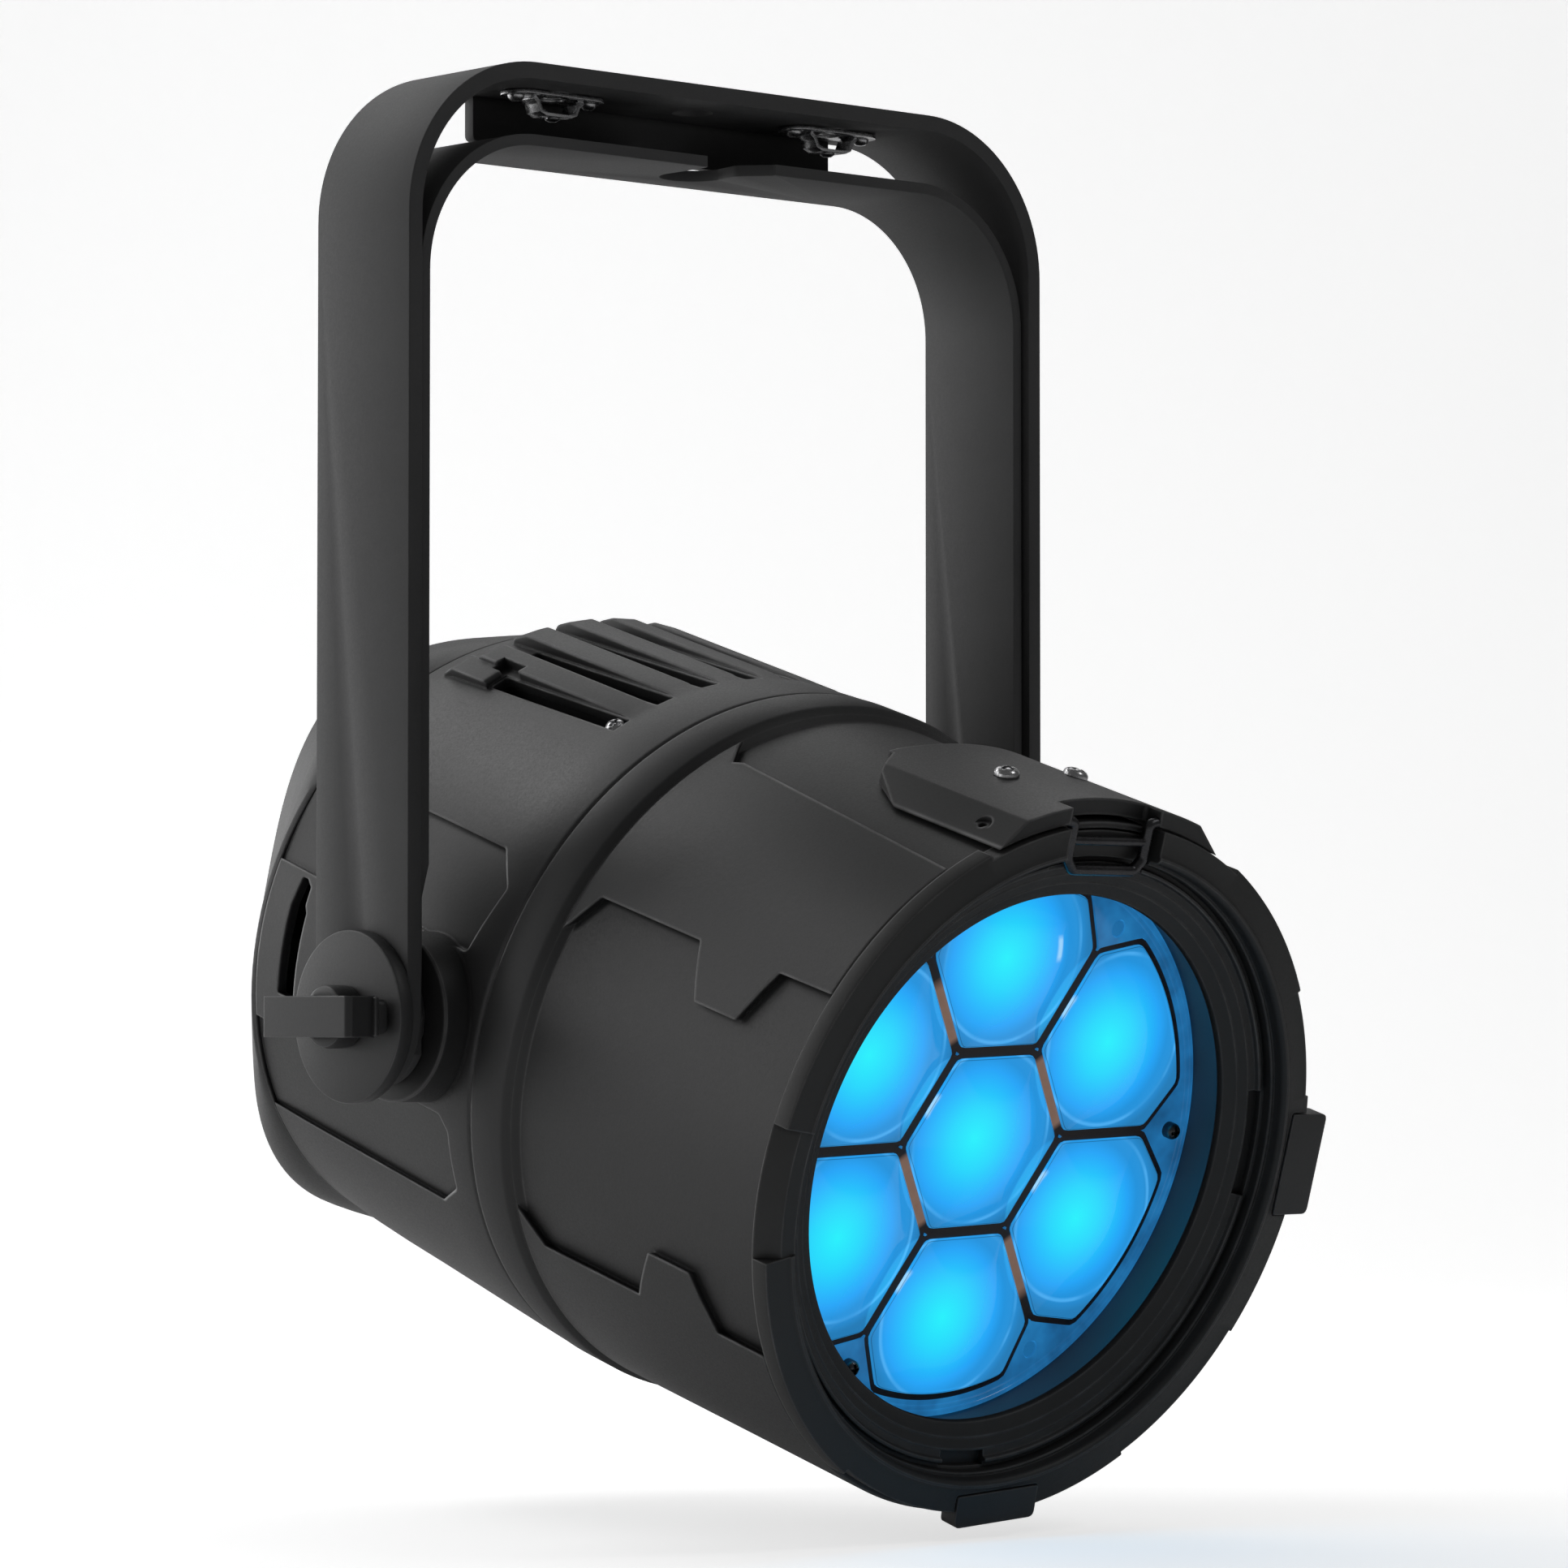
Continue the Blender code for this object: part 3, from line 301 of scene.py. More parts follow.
def lens_material():
    """Lit acrylic cell. The glowing pattern sits a few millimetres inside the
    moulding, so it is looked up where the view ray meets that depth."""
    net = Shader("lens_acrylic_lit")
    place = net.object_place()
    incoming = net.node("NewGeometry").outputs["Incoming"]
    ray = net.node("VectorTransform", {0: incoming}, vector_type='VECTOR',
                   convert_from='WORLD', convert_to='OBJECT').outputs[0]
    from_cell = net.vector('SUBTRACT', place, net.attribute("cell", "Vector"))
    height = net.vector('DOT_PRODUCT', from_cell, AX_S)
    slope = net.math('MAXIMUM', net.vector('DOT_PRODUCT', ray, AX_S), 0.35)
    sunk = net.times(net.math('DIVIDE', height, slope), 0.84)       # 0.84: bending of the ray
    hit = net.vector('SUBTRACT', from_cell, net.vector('SCALE', ray, scale=sunk))
    hit_height = net.vector('DOT_PRODUCT', hit, AX_S)
    flat = net.vector('SUBTRACT', hit, net.vector('SCALE', AX_S, scale=hit_height))
    radius = net.vector('LENGTH', flat)
    waver = net.noise(place, scale=40.0, detail=2.0, rough=0.5)
    waver = net.times(net.math('SUBTRACT', waver, 0.5), 0.05)
    core = net.ramp(net.math('ADD', net.times(radius, 1.0 / GLOW_REACH), waver), GLOW_STOPS)

    # edge of the inner dome, a circle of radius 27.6 mm set off to one side
    off_centre = net.vector('SUBTRACT', flat, AX_X * 0.0032 + AX_V * 0.0006)
    ring = net.times(net.vector('LENGTH', off_centre), 1.0 / 0.0276)
    ring = net.math('ADD', ring, net.times(waver, 0.5))
    shoulder = net.mix(net.remap(ring, span=(1.0, 1.12)),
                       (0.022, 0.27, 0.66), (0.020, 0.20, 0.47))
    glow = net.mix(net.times(net.remap(ring, span=(0.985, 1.0)), 0.8), core, shoulder)
    # painted highlight: a thin light line along the edge of the inner dome, broken into patches
    rim_highlight = net.times(net.remap(ring, span=(0.955, 0.985)),
                         net.remap(ring, span=(1.0, 1.02), to=(1.0, 0.0)))
    patches = net.remap(net.noise(place, scale=70.0, detail=1.0, rough=0.5),
                        span=(0.40, 0.62), to=(0.15, 0.65))
    glow = net.mix(net.times(rim_highlight, patches), glow, (0.10, 0.50, 1.0))

    # one short soft painted glint, a painted reflection, on each dome: a thin ring kept to one
    # direction
    reach = net.vector('DOT_PRODUCT', flat, net.attribute("glint", "Vector"))
    sideways = net.math('SUBTRACT', net.times(radius, radius), net.times(reach, reach))
    sideways = net.math('SQRT', net.math('MAXIMUM', sideways, 0.0))
    thin_ring = net.times(net.remap(radius, span=(0.0206, 0.0216)),
                          net.remap(radius, span=(0.0226, 0.0232), to=(1.0, 0.0)))
    short = net.times(net.remap(sideways, span=(0.0026, 0.0046), to=(1.0, 0.0)),
                      net.remap(reach, span=(0.012, 0.016)))
    glow = net.mix(net.times(thin_ring, short, 0.75), glow, (0.42, 0.74, 1.0))
    wall = net.ramp(net.attribute("glow", "Fac"), WALL_STOPS)
    net.surface({
        "Emission Color": net.mix(1.0, glow, wall, blend='MULTIPLY'),
        "Emission Strength": 0.96,
        "Base Color": (0.004, 0.02, 0.04),
        "Roughness": net.remap(net.noise(place, scale=900.0, detail=2.0, rough=0.5),
                               span=(0.3, 0.7), to=(0.05, 0.10)),
        "IOR": 1.49})
    return net.material


def window_material():
    net = Shader("display_window")
    cloud = net.noise(net.position(), scale=40.0, detail=3.0, rough=0.5)
    net.surface({
        "Base Color": net.mix(cloud, (0.008, 0.010, 0.014), (0.014, 0.018, 0.024)),
        "Roughness": net.remap(cloud, span=(0.3, 0.7), to=(0.06, 0.12))})
    return net.material


def tray_material():
    """Clear tray under the lens cells: catches the light unevenly."""
    net = Shader("lens_tray_clear")
    cloud = net.noise(net.position(), scale=55.0, detail=3.0, rough=0.6)
    stops = [(0.30, (0.010, 0.085, 0.22)), (0.52, (0.014, 0.150, 0.38)),
             (0.75, (0.022, 0.23, 0.54))]
    net.surface({
        "Emission Color": net.ramp(cloud, stops),
        "Emission Strength": 0.9,
        "Base Color": (0.01, 0.03, 0.05),
        "Roughness": net.remap(cloud, span=(0.3, 0.7), to=(0.08, 0.2))})
    return net.material


def gasket_material():
    """Brown gasket in the joints. The joints that run from upper left to
    lower right catch the light."""
    net = Shader("lens_gasket_brown")
    place = net.object_place()
    # distances square to the lit joints and along them
    square = net.math('ABSOLUTE', net.along(place, across(30 + CLUSTER_TURN)))
    length = net.math('ABSOLUTE', net.along(place, across(120 + CLUSTER_TURN)))
    joint = dict(span=(0.0018, 0.0021), to=(1.0, 0.0))      # half width, softened
    from_flat = net.math('ABSOLUTE', net.math('SUBTRACT', square, 0.02832))
    flats = net.times(net.remap(from_flat, **joint),
                      net.remap(length, span=(0.0115, 0.0135), to=(1.0, 0.0)))
    spoke_reach = net.times(net.remap(length, span=(0.036, 0.038)),
                            net.remap(length, span=(0.056, 0.060), to=(1.0, 0.0)))
    spokes = net.times(net.remap(square, **joint), spoke_reach)

    def by_joint(plain, lit):
        return net.mix(net.math('MAXIMUM', flats, spokes), plain, lit)

    speckle = net.noise(place, scale=260.0, detail=3.0, rough=0.6)
    dark = net.mix(speckle, (0.012, 0.008, 0.008), (0.060, 0.032, 0.022))
    warm = net.mix(speckle, (0.22, 0.125, 0.085), (0.42, 0.25, 0.17))
    net.surface({
        "Base Color": by_joint(dark, warm),
        "Roughness": net.remap(speckle, span=(0.3, 0.7), to=(0.45, 0.6)),
        "Emission Color": by_joint((0.0, 0.0, 0.0), (0.20, 0.105, 0.068)),
        "Emission Strength": 0.6})
    return net.material


def rod_material():
    """Guide rods, blue: their front ends sit in the glowing tray and get a painted blue glow to
    match it.
    """
    net = metal("blue_rod", (0.030, 0.16, 0.36), rough=0.35)
    station = net.along(net.object_place(), AX_S)
    # painted glow at the front ends, as if lit by the tray
    net.surface({
        "Emission Color": (0.013, 0.140, 0.35),
        "Emission Strength": net.remap(station, span=(0.134, 0.1375), to=(0.0, 0.9))})
    return net.material


BODY = coat("body_coat_satin", (0.0265, 0.0265, 0.0272), rough=0.46, grain=0.8, edge=0.0013,
            highlight=1.0)
RIM = coat("rim_coat_matte", (0.032, 0.032, 0.032), rough=0.48, grain=1.0, edge=0.0009,
           highlight=0.80)
YOKE_COAT = coat("yoke_coat_satin", (0.070, 0.070, 0.071), rough=0.60, grain=0.8, edge=0.0004,
                 highlight=0.12, specular=0.38)
DISC = coat("disc_coat_satin", (0.044, 0.044, 0.045), rough=0.50, grain=0.8, edge=0.0006,
            highlight=0.55)
PLASTIC = coat("black_moulding", (0.034, 0.034, 0.035), rough=0.42, grain=0.7, edge=0.0007,
               highlight=0.60)
DARK_PLASTIC = coat("black_moulding_dark", (0.010, 0.010, 0.011), rough=0.6, grain=0.8,
                    edge=0.0003, highlight=0.1)
RUBBER = coat("black_rubber", (0.014, 0.014, 0.014), rough=0.75, grain=1.6, edge=0.0004,
              highlight=0.1, specular=0.3)
SINK = coat("black_anodised", (0.012, 0.012, 0.013), rough=0.5, grain=0.5, edge=0.0002,
            highlight=0.2)
STEEL = metal("zinc_steel", (0.72, 0.72, 0.73), rough=0.24).material
DARK_STEEL = metal("dark_steel", (0.10, 0.10, 0.105), rough=0.30).material
ALUMINIUM = metal("bare_aluminium", (0.60, 0.61, 0.63), rough=0.36, brush=(14, 1, 1)).material
BOARD = board_material()
LENS = lens_material()
WINDOW = window_material()
TRAY = tray_material()
GASKET = gasket_material()
ROD = rod_material()
SLEEVE = coat("sleeve_moulding", (0.105, 0.108, 0.112), rough=0.38, grain=0.5, edge=0.0003,
              highlight=0.1)

# ====================================================== solids
# plane: its normal, and the turn that lays a flat outline in it
PLANES = {
    'XY': (Vector((0, 0, 1)), Matrix.Identity(4)),
    'XZ': (Vector((0, 1, 0)), Matrix(((1, 0, 0, 0), (0, 0, -1, 0), (0, 1, 0, 0), (0, 0, 0, 1)))),
    'YZ': (Vector((1, 0, 0)), Matrix(((0, 0, 1, 0), (1, 0, 0, 0), (0, 1, 0, 0), (0, 0, 0, 1))))}
SWAP_XY = Matrix(((0, 1, 0, 0), (1, 0, 0, 0), (0, 0, 1, 0), (0, 0, 0, 1)))
SWAP_YZ = Matrix(((1, 0, 0, 0), (0, 0, 1, 0), (0, 1, 0, 0), (0, 0, 0, 1)))
FLIP_X = Matrix.Scale(-1, 4, (1, 0, 0))


def wrap(bm, name="piece"):
    mesh = bpy.data.meshes.new(name)
    bm.to_mesh(mesh)
    bm.free()
    ob = bpy.data.objects.new(name, mesh)
    WORK.objects.link(ob)
    return ob


def discard(ob):
    bpy.data.objects.remove(ob, do_unlink=True)


def bake(ob):
    """Apply modifiers and placement, merge doubles and turn the normals outwards."""
    graph = bpy.context.evaluated_depsgraph_get()
    graph.update()
    mesh = bpy.data.meshes.new_from_object(ob.evaluated_get(graph))
    mesh.transform(ob.matrix_world)
    bm = bmesh.new()
    bm.from_mesh(mesh)
    bmesh.ops.remove_doubles(bm, verts=bm.verts, dist=2e-6)
    bmesh.ops.dissolve_degenerate(bm, edges=bm.edges, dist=1e-7)
    bmesh.ops.recalc_face_normals(bm, faces=bm.faces)
    if bm.calc_volume(signed=True) < 0:
        bmesh.ops.reverse_faces(bm, faces=bm.faces)
    discard(ob)
    bpy.data.meshes.remove(mesh)
    return wrap(bm)


def turned(profile, steps=STEPS):
    """Solid of revolution about Z from (radius, height) points. Open profiles
    start and end on the axis."""
    closed = min(point[0] for point in profile) > 0.01
    points = list(profile)
    following = points[1:] + points[:1]
    if sum(a[0] * b[1] - b[0] * a[1] for a, b in zip(points, following)) > 0:
        points.reverse()
    bm = bmesh.new()
    verts = [bm.verts.new((radius * MM, 0, z * MM)) for radius, z in points]
    for pair in zip(verts[:-1], verts[1:]):
        bm.edges.new(pair)
    if closed:
        bm.edges.new((verts[-1], verts[0]))
    ob = wrap(bm)
    screw = ob.modifiers.new("Screw", 'SCREW')
    screw.axis = 'Z'
    screw.steps = screw.render_steps = steps
    screw.use_merge_vertices = True
    screw.merge_threshold = 0.00001
    return bake(ob)


def cylinder(radius, low, high, segments, centre=(0, 0), plane='XY'):
    """Cylinder standing square to a plane."""
    bm = bmesh.new()
    bmesh.ops.create_cone(bm, cap_ends=True, segments=segments, radius1=radius * MM,
                          radius2=radius * MM, depth=(high - low) * MM)
    middle = (centre[0] * MM, centre[1] * MM, (low + high) / 2 * MM)
    bmesh.ops.translate(bm, verts=bm.verts, vec=middle)
    bm.transform(PLANES[plane][1])
    return wrap(bm)


def box(*ranges, bevel=0.0, segments=3):
    """Box from its (low, high) ranges in X, Y and Z."""
    bm = bmesh.new()
    bmesh.ops.create_cube(bm, size=1.0)
    bmesh.ops.scale(bm, verts=bm.verts, vec=[(high - low) * MM for low, high in ranges])
    bmesh.ops.translate(bm, verts=bm.verts, vec=[(low + high) / 2 * MM for low, high in ranges])
    if bevel:
        bmesh.ops.bevel(bm, geom=list(bm.edges), offset=bevel * MM, segments=segments,
                        profile=0.5, affect='EDGES')
    return wrap(bm)


def poly_curve(points, dimensions):
    """Curve object through points given in millimetres."""
    curve = bpy.data.curves.new("curve", 'CURVE')
    curve.dimensions = dimensions
    spline = curve.splines.new('POLY')
    spline.points.add(len(points) - 1)
    for point, (x, y, z) in zip(spline.points, points):
        point.co = (x * MM, y * MM, z * MM, 1)
    ob = bpy.data.objects.new("curve", curve)
    WORK.objects.link(ob)
    return ob


def outline(points, low, high, plane='XY'):
    """Flat outline extruded from low to high along the plane's normal."""
    ob = poly_curve([(a, b, 0) for a, b in points], '2D')
    ob.data.fill_mode = 'BOTH'
    ob.data.extrude = (high - low) / 2 * MM
    ob.data.splines[0].use_cyclic_u = True
    normal, turn = PLANES[plane]
    ob.matrix_world = Matrix.Translation(normal * ((low + high) / 2 * MM)) @ turn
    bpy.context.view_layer.update()
    return bake(ob)


def wire(points, station, radius):
    """Round wire through (x, v) points at one station."""
    ob = poly_curve([(x, v, station) for x, v in points], '3D')
    ob.data.bevel_depth = radius * MM
    ob.data.bevel_resolution = 8
    ob.data.use_fill_caps = True
    return bake(ob)


def volume(ob):
    bm = bmesh.new()
    bm.from_mesh(ob.data)
    amount = bm.calc_volume(signed=True)
    bm.free()
    return amount


def twin(ob):
    copy = ob.copy()
    copy.data = ob.data.copy()
    WORK.objects.link(copy)
    return copy


def combine(body, tool, operation):
    """Boolean of two solids. A union that loses material is tried again with
    other solver options, since coincident faces upset it."""
    need = max(volume(body), volume(tool)) * 0.995 if operation == 'UNION' else -1e9
    spare = twin(body)
    for attempt in range(4):
        boolean = body.modifiers.new("Boolean", 'BOOLEAN')
        boolean.operation = operation
        boolean.solver = 'EXACT'
        boolean.object = tool
        boolean.use_hole_tolerant = attempt in (1, 3)
        boolean.use_self = attempt in (2, 3)
        result = bake(body)
        if volume(result) > need or attempt == 3:
            break
        discard(result)
        body = twin(spare)
    discard(spare)
    discard(tool)
    return result


def cut(body, *tools):
    for tool in tools:
        body = combine(body, tool, 'DIFFERENCE')
    return body


def fuse(body, *parts):
    for part in parts:
        body = combine(body, part, 'UNION')
    return body


def joined(pieces):
    """Several separate closed solids in one mesh object."""
    bm = bmesh.new()
    for piece in pieces:
        bm.from_mesh(piece.data)
        discard(piece)
    return wrap(bm)


def moved(ob, matrix):
    ob.data.transform(matrix)
    return ob


def shift(x=0, y=0, z=0):
    return Matrix.Translation((x * MM, y * MM, z * MM))


def rotation(degrees, axis='Z'):
    return Matrix.Rotation(math.radians(degrees), 4, axis)


def spin(ob, degrees):
    return moved(ob, rotation(degrees))


def on_barrel(ob, station, angle):
    """Stand a piece made along Z outwards from the barrel axis."""
    return moved(ob, shift(z=station) @ rotation(angle) @ rotation(-90, 'X'))


def flipped(ob):
    copy = moved(twin(ob), FLIP_X)
    copy.data.flip_normals()
    return copy


def sided(sign, low, high):
    """A range on the +X side, or its mirror image on the -X side."""
    return (low, high) if sign > 0 else (-high, -low)


# ====================================================== outlines and finishing
def arc(x, y, radius, start, end, steps):
    points = []
    for i in range(steps + 1):
        dx, dy = polar(radius, start + (end - start) * i / steps)
        points.append((x + dx, y + dy))
    return points


def sector(inner, outer, start, end, steps=24):
    """Ring sector between two angles from the top."""
    return (arc(0, 0, outer, 90 + start, 90 + end, steps)
            + arc(0, 0, inner, 90 + end, 90 + start, steps))


def mirrored(points):
    """Left half of an outline followed by its mirror image."""
    return points + [(-x, y) for x, y in reversed(points)]


def rounded(points, radii, steps=5):
    """Round the corners of a polygon; radii is one value or one per corner."""
    count = len(points)
    if isinstance(radii, (int, float)):
        radii = [radii] * count
    result = []
    for i, (point, radius) in enumerate(zip(points, radii)):
        if radius <= 0:
            result.append(point)
            continue
        corner = Vector(point)
        before, after = points[i - 1], points[(i + 1) % count]
        back = Vector((before[0] - point[0], before[1] - point[1]))
        ahead = Vector((after[0] - point[0], after[1] - point[1]))
        back_length, ahead_length = back.length, ahead.length
        back = back / back_length
        ahead = ahead / ahead_length
        half = math.acos(max(-1, min(1, back.dot(ahead)))) / 2
        trim = min(radius / math.tan(half), back_length * 0.48, ahead_length * 0.48)
        start, end = corner + back * trim, corner + ahead * trim
        for j in range(steps + 1):
            t = j / steps
            place = start * (1 - t) ** 2 + corner * 2 * t * (1 - t) + end * t ** 2
            result.append((place.x, place.y))
    return result


def rectangle(half, low, high, radii, steps=5):
    """Rounded rectangle centred on x = 0; radii run from the lower left."""
    corners = [(-half, low), (half, low), (half, high), (-half, high)]
    return rounded(corners, radii, steps)


def soft_edges(ob, width, segments=2, test=None):
    """Bevel the edges sharper than 50 degrees that pass test."""
    bm = bmesh.new()
    bm.from_mesh(ob.data)
    edges = [edge for edge in bm.edges
             if len(edge.link_faces) == 2 and edge.calc_face_angle(0) > math.radians(50)
             and (test is None or test(edge))]
    if edges:
        bmesh.ops.bevel(bm, geom=edges, offset=width * MM, segments=segments, profile=0.5,
                        affect='EDGES', clamp_overlap=True)
    bm.to_mesh(ob.data)
    bm.free()
    return ob


def relink(ob, collection):
    for owner in list(ob.users_collection):
        owner.objects.unlink(ob)
    collection.objects.link(ob)


def put(ob, part, suffix, finish, body="head", space=HEAD, sharp=35, replaces=True):
    """Finish a piece: into the row frame, smooth shaded, riding on its body
    and, unless told otherwise, replacing the CAD part it is named after."""
    ob.data.transform(space)
    relink(ob, LOOKS)
    ob.name = ob.data.name = f"{part}_{suffix}"
    ob.data.materials.clear()
    ob.data.materials.append(finish)
    ob.data.shade_smooth()
    ob.data.set_sharp_from_angle(angle=math.radians(sharp))
    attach(ob, body)
    if replaces:
        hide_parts(part)


def cross_recess(head, half_length, half_width, low, high, turn):
    for angle in (0, 90):
        bar = box((-half_length, half_length), (-half_width, half_width), (low, high))
        head = cut(head, spin(bar, angle + turn))
    return head


def dome_screw(radius, crown, seat, segments=40):
    """Domed cross-head screw; crown and seat are its top and bottom."""
    head = turned([(0, crown), (radius * 0.45, crown - 0.12), (radius * 0.78, crown - 0.65),
                   (radius * 0.95, crown - 1.35), (radius, crown - 1.9), (radius, seat),
                   (0, seat)], segments)
    return cross_recess(head, radius * 0.66, radius * 0.19, crown - 1.6, crown + 1, turn=12)


# ====================================================== yokes
OUTER_TOP, OUTER_THICK = 292.8, 5.1
INNER_STRAP, INNER_SHIFT = 42.3, 0.95
RECEPTACLES = {"left": -58.0, "right": 58.0}    # x of each
RIVET_REACH = 14.6                              # rivets either side of a receptacle


def u_strap(width, strap, thick, top, bend, y_shift=0):
    """Upturned U of bent strap with half-round ends."""
    half = width / 2
    inner_bend = bend - thick
    end_radius = strap / 2
    foot = -end_radius - 2
    outside = ([(-half, foot)] + arc(-half + bend, top - bend, bend, 180, 90, 28)
               + arc(half - bend, top - bend, bend, 90, 0, 28) + [(half, foot)])
    inside = ([(half - thick, foot)] + arc(half - bend, top - bend, inner_bend, 0, 90, 28)
              + arc(-half + bend, top - bend, inner_bend, 90, 180, 28)
              + [(-half + thick, foot)])
    body = outline(outside + inside, y_shift - strap / 2, y_shift + strap / 2, 'XZ')
    reach = strap / 2 + 4
    waste = ([(-reach + y_shift, 0.01)]
             + [(y + y_shift, z) for y, z in arc(0, 0, end_radius, 180, 360, 40)]
             + [(reach + y_shift, 0.01), (reach + y_shift, -end_radius - 10),
                (-reach + y_shift, -end_radius - 10)])
    return cut(body, outline(waste, -half - 10, half + 10, 'YZ'))


def tilt_hole():
    return cylinder(PIVOT_HOLE, -150, 150, 40, plane='YZ')


yoke = u_strap(width=264.8, strap=45.0, thick=OUTER_THICK, top=OUTER_TOP, bend=50.0)
flange = outline(rectangle(75, 273.8, 289.2, [2.0, 2.0, 0, 0]), 18.2, 22.3, 'XZ')
yoke = cut(fuse(yoke, flange), tilt_hole(), cylinder(6.5, 270, 300, 48))
RIVET_HEAD = [(0, 292.62), (2.0, 292.58), (2.6, 292.3), (2.6, 290.6), (0, 290.6)]
for x in RECEPTACLES.values():
    yoke = cut(yoke, cylinder(6.2, 280, 300, 48, centre=(x, 0)))
    for rivet_x in (x - RIVET_REACH, x + RIVET_REACH):      # rivets show as flush heads on top
        yoke = cut(yoke, cylinder(2.9, 292.2, 294, 32, centre=(rivet_x, 0)))
        yoke = fuse(yoke, moved(turned(RIVET_HEAD, 32), shift(rivet_x)))
soft_edges(yoke, 0.45)
put(yoke, "outer_yoke", "strap", YOKE_COAT, body="yoke", space=YOKE, sharp=30)

inner = u_strap(width=251.9, strap=INNER_STRAP, thick=3.5, top=270.9, bend=45.0,
                y_shift=INNER_SHIFT)
for sign in (-1, 1):        # the legs narrow towards their ends
    y_out = INNER_SHIFT + sign * (INNER_STRAP / 2 + 5)
    y_in = INNER_SHIFT + sign * (INNER_STRAP / 2 - 3.4)
    waste = [(y_out, 46), (y_in + sign * 3.4, 46), (y_in, 36), (y_in, -30), (y_out, -30)]
    inner = cut(inner, outline(waste, -140, 140, 'YZ'))
# round-ended slot in the top, open towards -Y
top_slot = (rounded([(17.5, -26), (17.5, -19.0), (9.5, -10), (11, 0)], [0, 4, 4, 0], 6)
            + arc(0.3, 0, 10.8, 0, 180, 32)
            + rounded([(-10.5, 0), (-10.5, -18.6), (-13.5, -26)], [0, 3, 0], 6))
inner = cut(inner, tilt_hole(), outline(top_slot, 255, 285))
soft_edges(inner, 0.45)
put(inner, "inner_yoke", "strap", YOKE_COAT, body="inner_leg", space=YOKE, sharp=30)


def receptacle(x):
    """Quarter-turn receptacle: riveted plate with a sprung bridge under it."""
    top = OUTER_TOP - OUTER_THICK - 0.3

    def stud(profile, place):
        return moved(turned([(radius, top - drop) for radius, drop in profile], 28),
                     shift(place))

    plate = outline(arc(x + 12, 0, 7, -90, 90, 20) + arc(x - 12, 0, 7, 90, 270, 20),
                    top - 1.2, top)
    plate = cut(plate, cylinder(4.4, top - 4, top + 1, 32, centre=(x, 0)))
    soft_edges(plate, 0.25)
    rivet = [(0, 3.2), (1.6, 3.0), (2.5, 2.2), (2.7, 1.25), (0, 1.25)]
    rivets = [stud(rivet, x + reach) for reach in (-RIVET_REACH, RIVET_REACH)]
    path = mirrored([(-10.5, -1.9), (-8.6, -3.4), (-7.4, -6.0), (-5.0, -7.0)])
    face = [(x + dx, top + dz) for dx, dz in path]
    back = [(x + dx + (0.9 if dx < 0 else -0.9), top + dz + 1.0) for dx, dz in reversed(path)]
    bridge = soft_edges(outline(rounded(face + back, 0.5, 3), -3.4, 3.4, 'XZ'), 0.3)
    button = stud([(0, 8.3), (1.4, 8.2), (2.4, 7.5), (2.4, 6.3), (0, 6.3)], x)
    return joined([plate, *rivets, bridge, button])


for side, x in RECEPTACLES.items():
    put(receptacle(x), "receptacle_" + side, "clip", STEEL, body="yoke", space=YOKE, sharp=40)

# ====================================================== tilt pivots
# profiles turned about the tilt axis: (radius, distance from the middle)
TILT_DISC = [(PIVOT_HOLE, 132.75), (PIVOT_HOLE, 137.9), (25.5, 137.9), (26.05, 137.65),
             (26.3, 137.1), (26.3, 133.4), (25.9, 132.75)]
PIVOT_BOLT = [(0, 102.0), (4.0, 102.0), (4.7, 102.7), (4.7, 137.8), (0, 137.8)]
HANDLE_COLLAR = [(0, 138.25), (8.6, 138.25), (9.5, 138.9), (9.6, 141.0), (9.6, 145.0),
                 (9.2, 146.6), (8.0, 147.0), (0, 147.0)]
# bar with chamfered outer ends: (y, distance from the middle)
HANDLE_GRIP = [(-21.4, 143.7), (21.4, 143.7), (21.5, 152.6), (19.9, 154.2), (-19.9, 154.2),
               (-21.5, 152.6)]


def turned_sideways(profile, sign, steps):
    return moved(turned(profile, steps), rotation(90 * sign, 'Y'))


def tilt_handle(sign):
    """Collar and grip bar, with a lug and a ridge between them."""
    grip = outline(rounded(HANDLE_GRIP, [0.6, 0.6, 0.8, 0.8, 0.8, 0.8], 4), -6.2, 6.2)
    grip = moved(soft_edges(grip, 1.0, segments=1), SWAP_XY)
    if sign < 0:
        moved(grip, FLIP_X)
    lug = box(sided(sign, 138.9, 144.7), (-22.6, 22.6), (-5.3, 5.3), bevel=2.1, segments=4)
    ridge = box(sided(sign, 143.2, 144.9), (-22.9, 22.9), (-5.9, 5.9), bevel=0.6, segments=2)
    return fuse(turned_sideways(HANDLE_COLLAR, sign, 64), lug, ridge, bake(grip))


for side, sign in (("left", -1), ("right", 1)):
    handle = "handle_" + side
    put(turned_sideways(TILT_DISC, sign, 144), "tilt_disc_" + side, "plate", DISC,
        body="yoke", space=YOKE)
    put(turned_sideways(PIVOT_BOLT, sign, 48), "pivot_bolt_" + side, "shank", STEEL,
        body=handle, space=YOKE)
    put(tilt_handle(sign), "tilt_handle_" + side, "grip", PLASTIC,
        body=handle, space=YOKE, sharp=32)

# ====================================================== rear housing
HOUSING = [     # (station, radius)
    (-91.7, 104.5), (-75.0, 105.9), (-60.0, 106.8), (-40.0, 107.7), (-15.0, 109.0),
    (10.0, 110.3), (28.6, 111.2), (29.4, 111.05), (30.0, 110.6)]
CAP_HALF, CAP_TOP = 104.5, 99.8         # rear cap where it meets the housing
POCKET_DEPTH = 1.6
PITCH = 9.2                             # degrees between ribs
OUTER_RIB = 3.5                         # outermost ribs, in pitches from the top
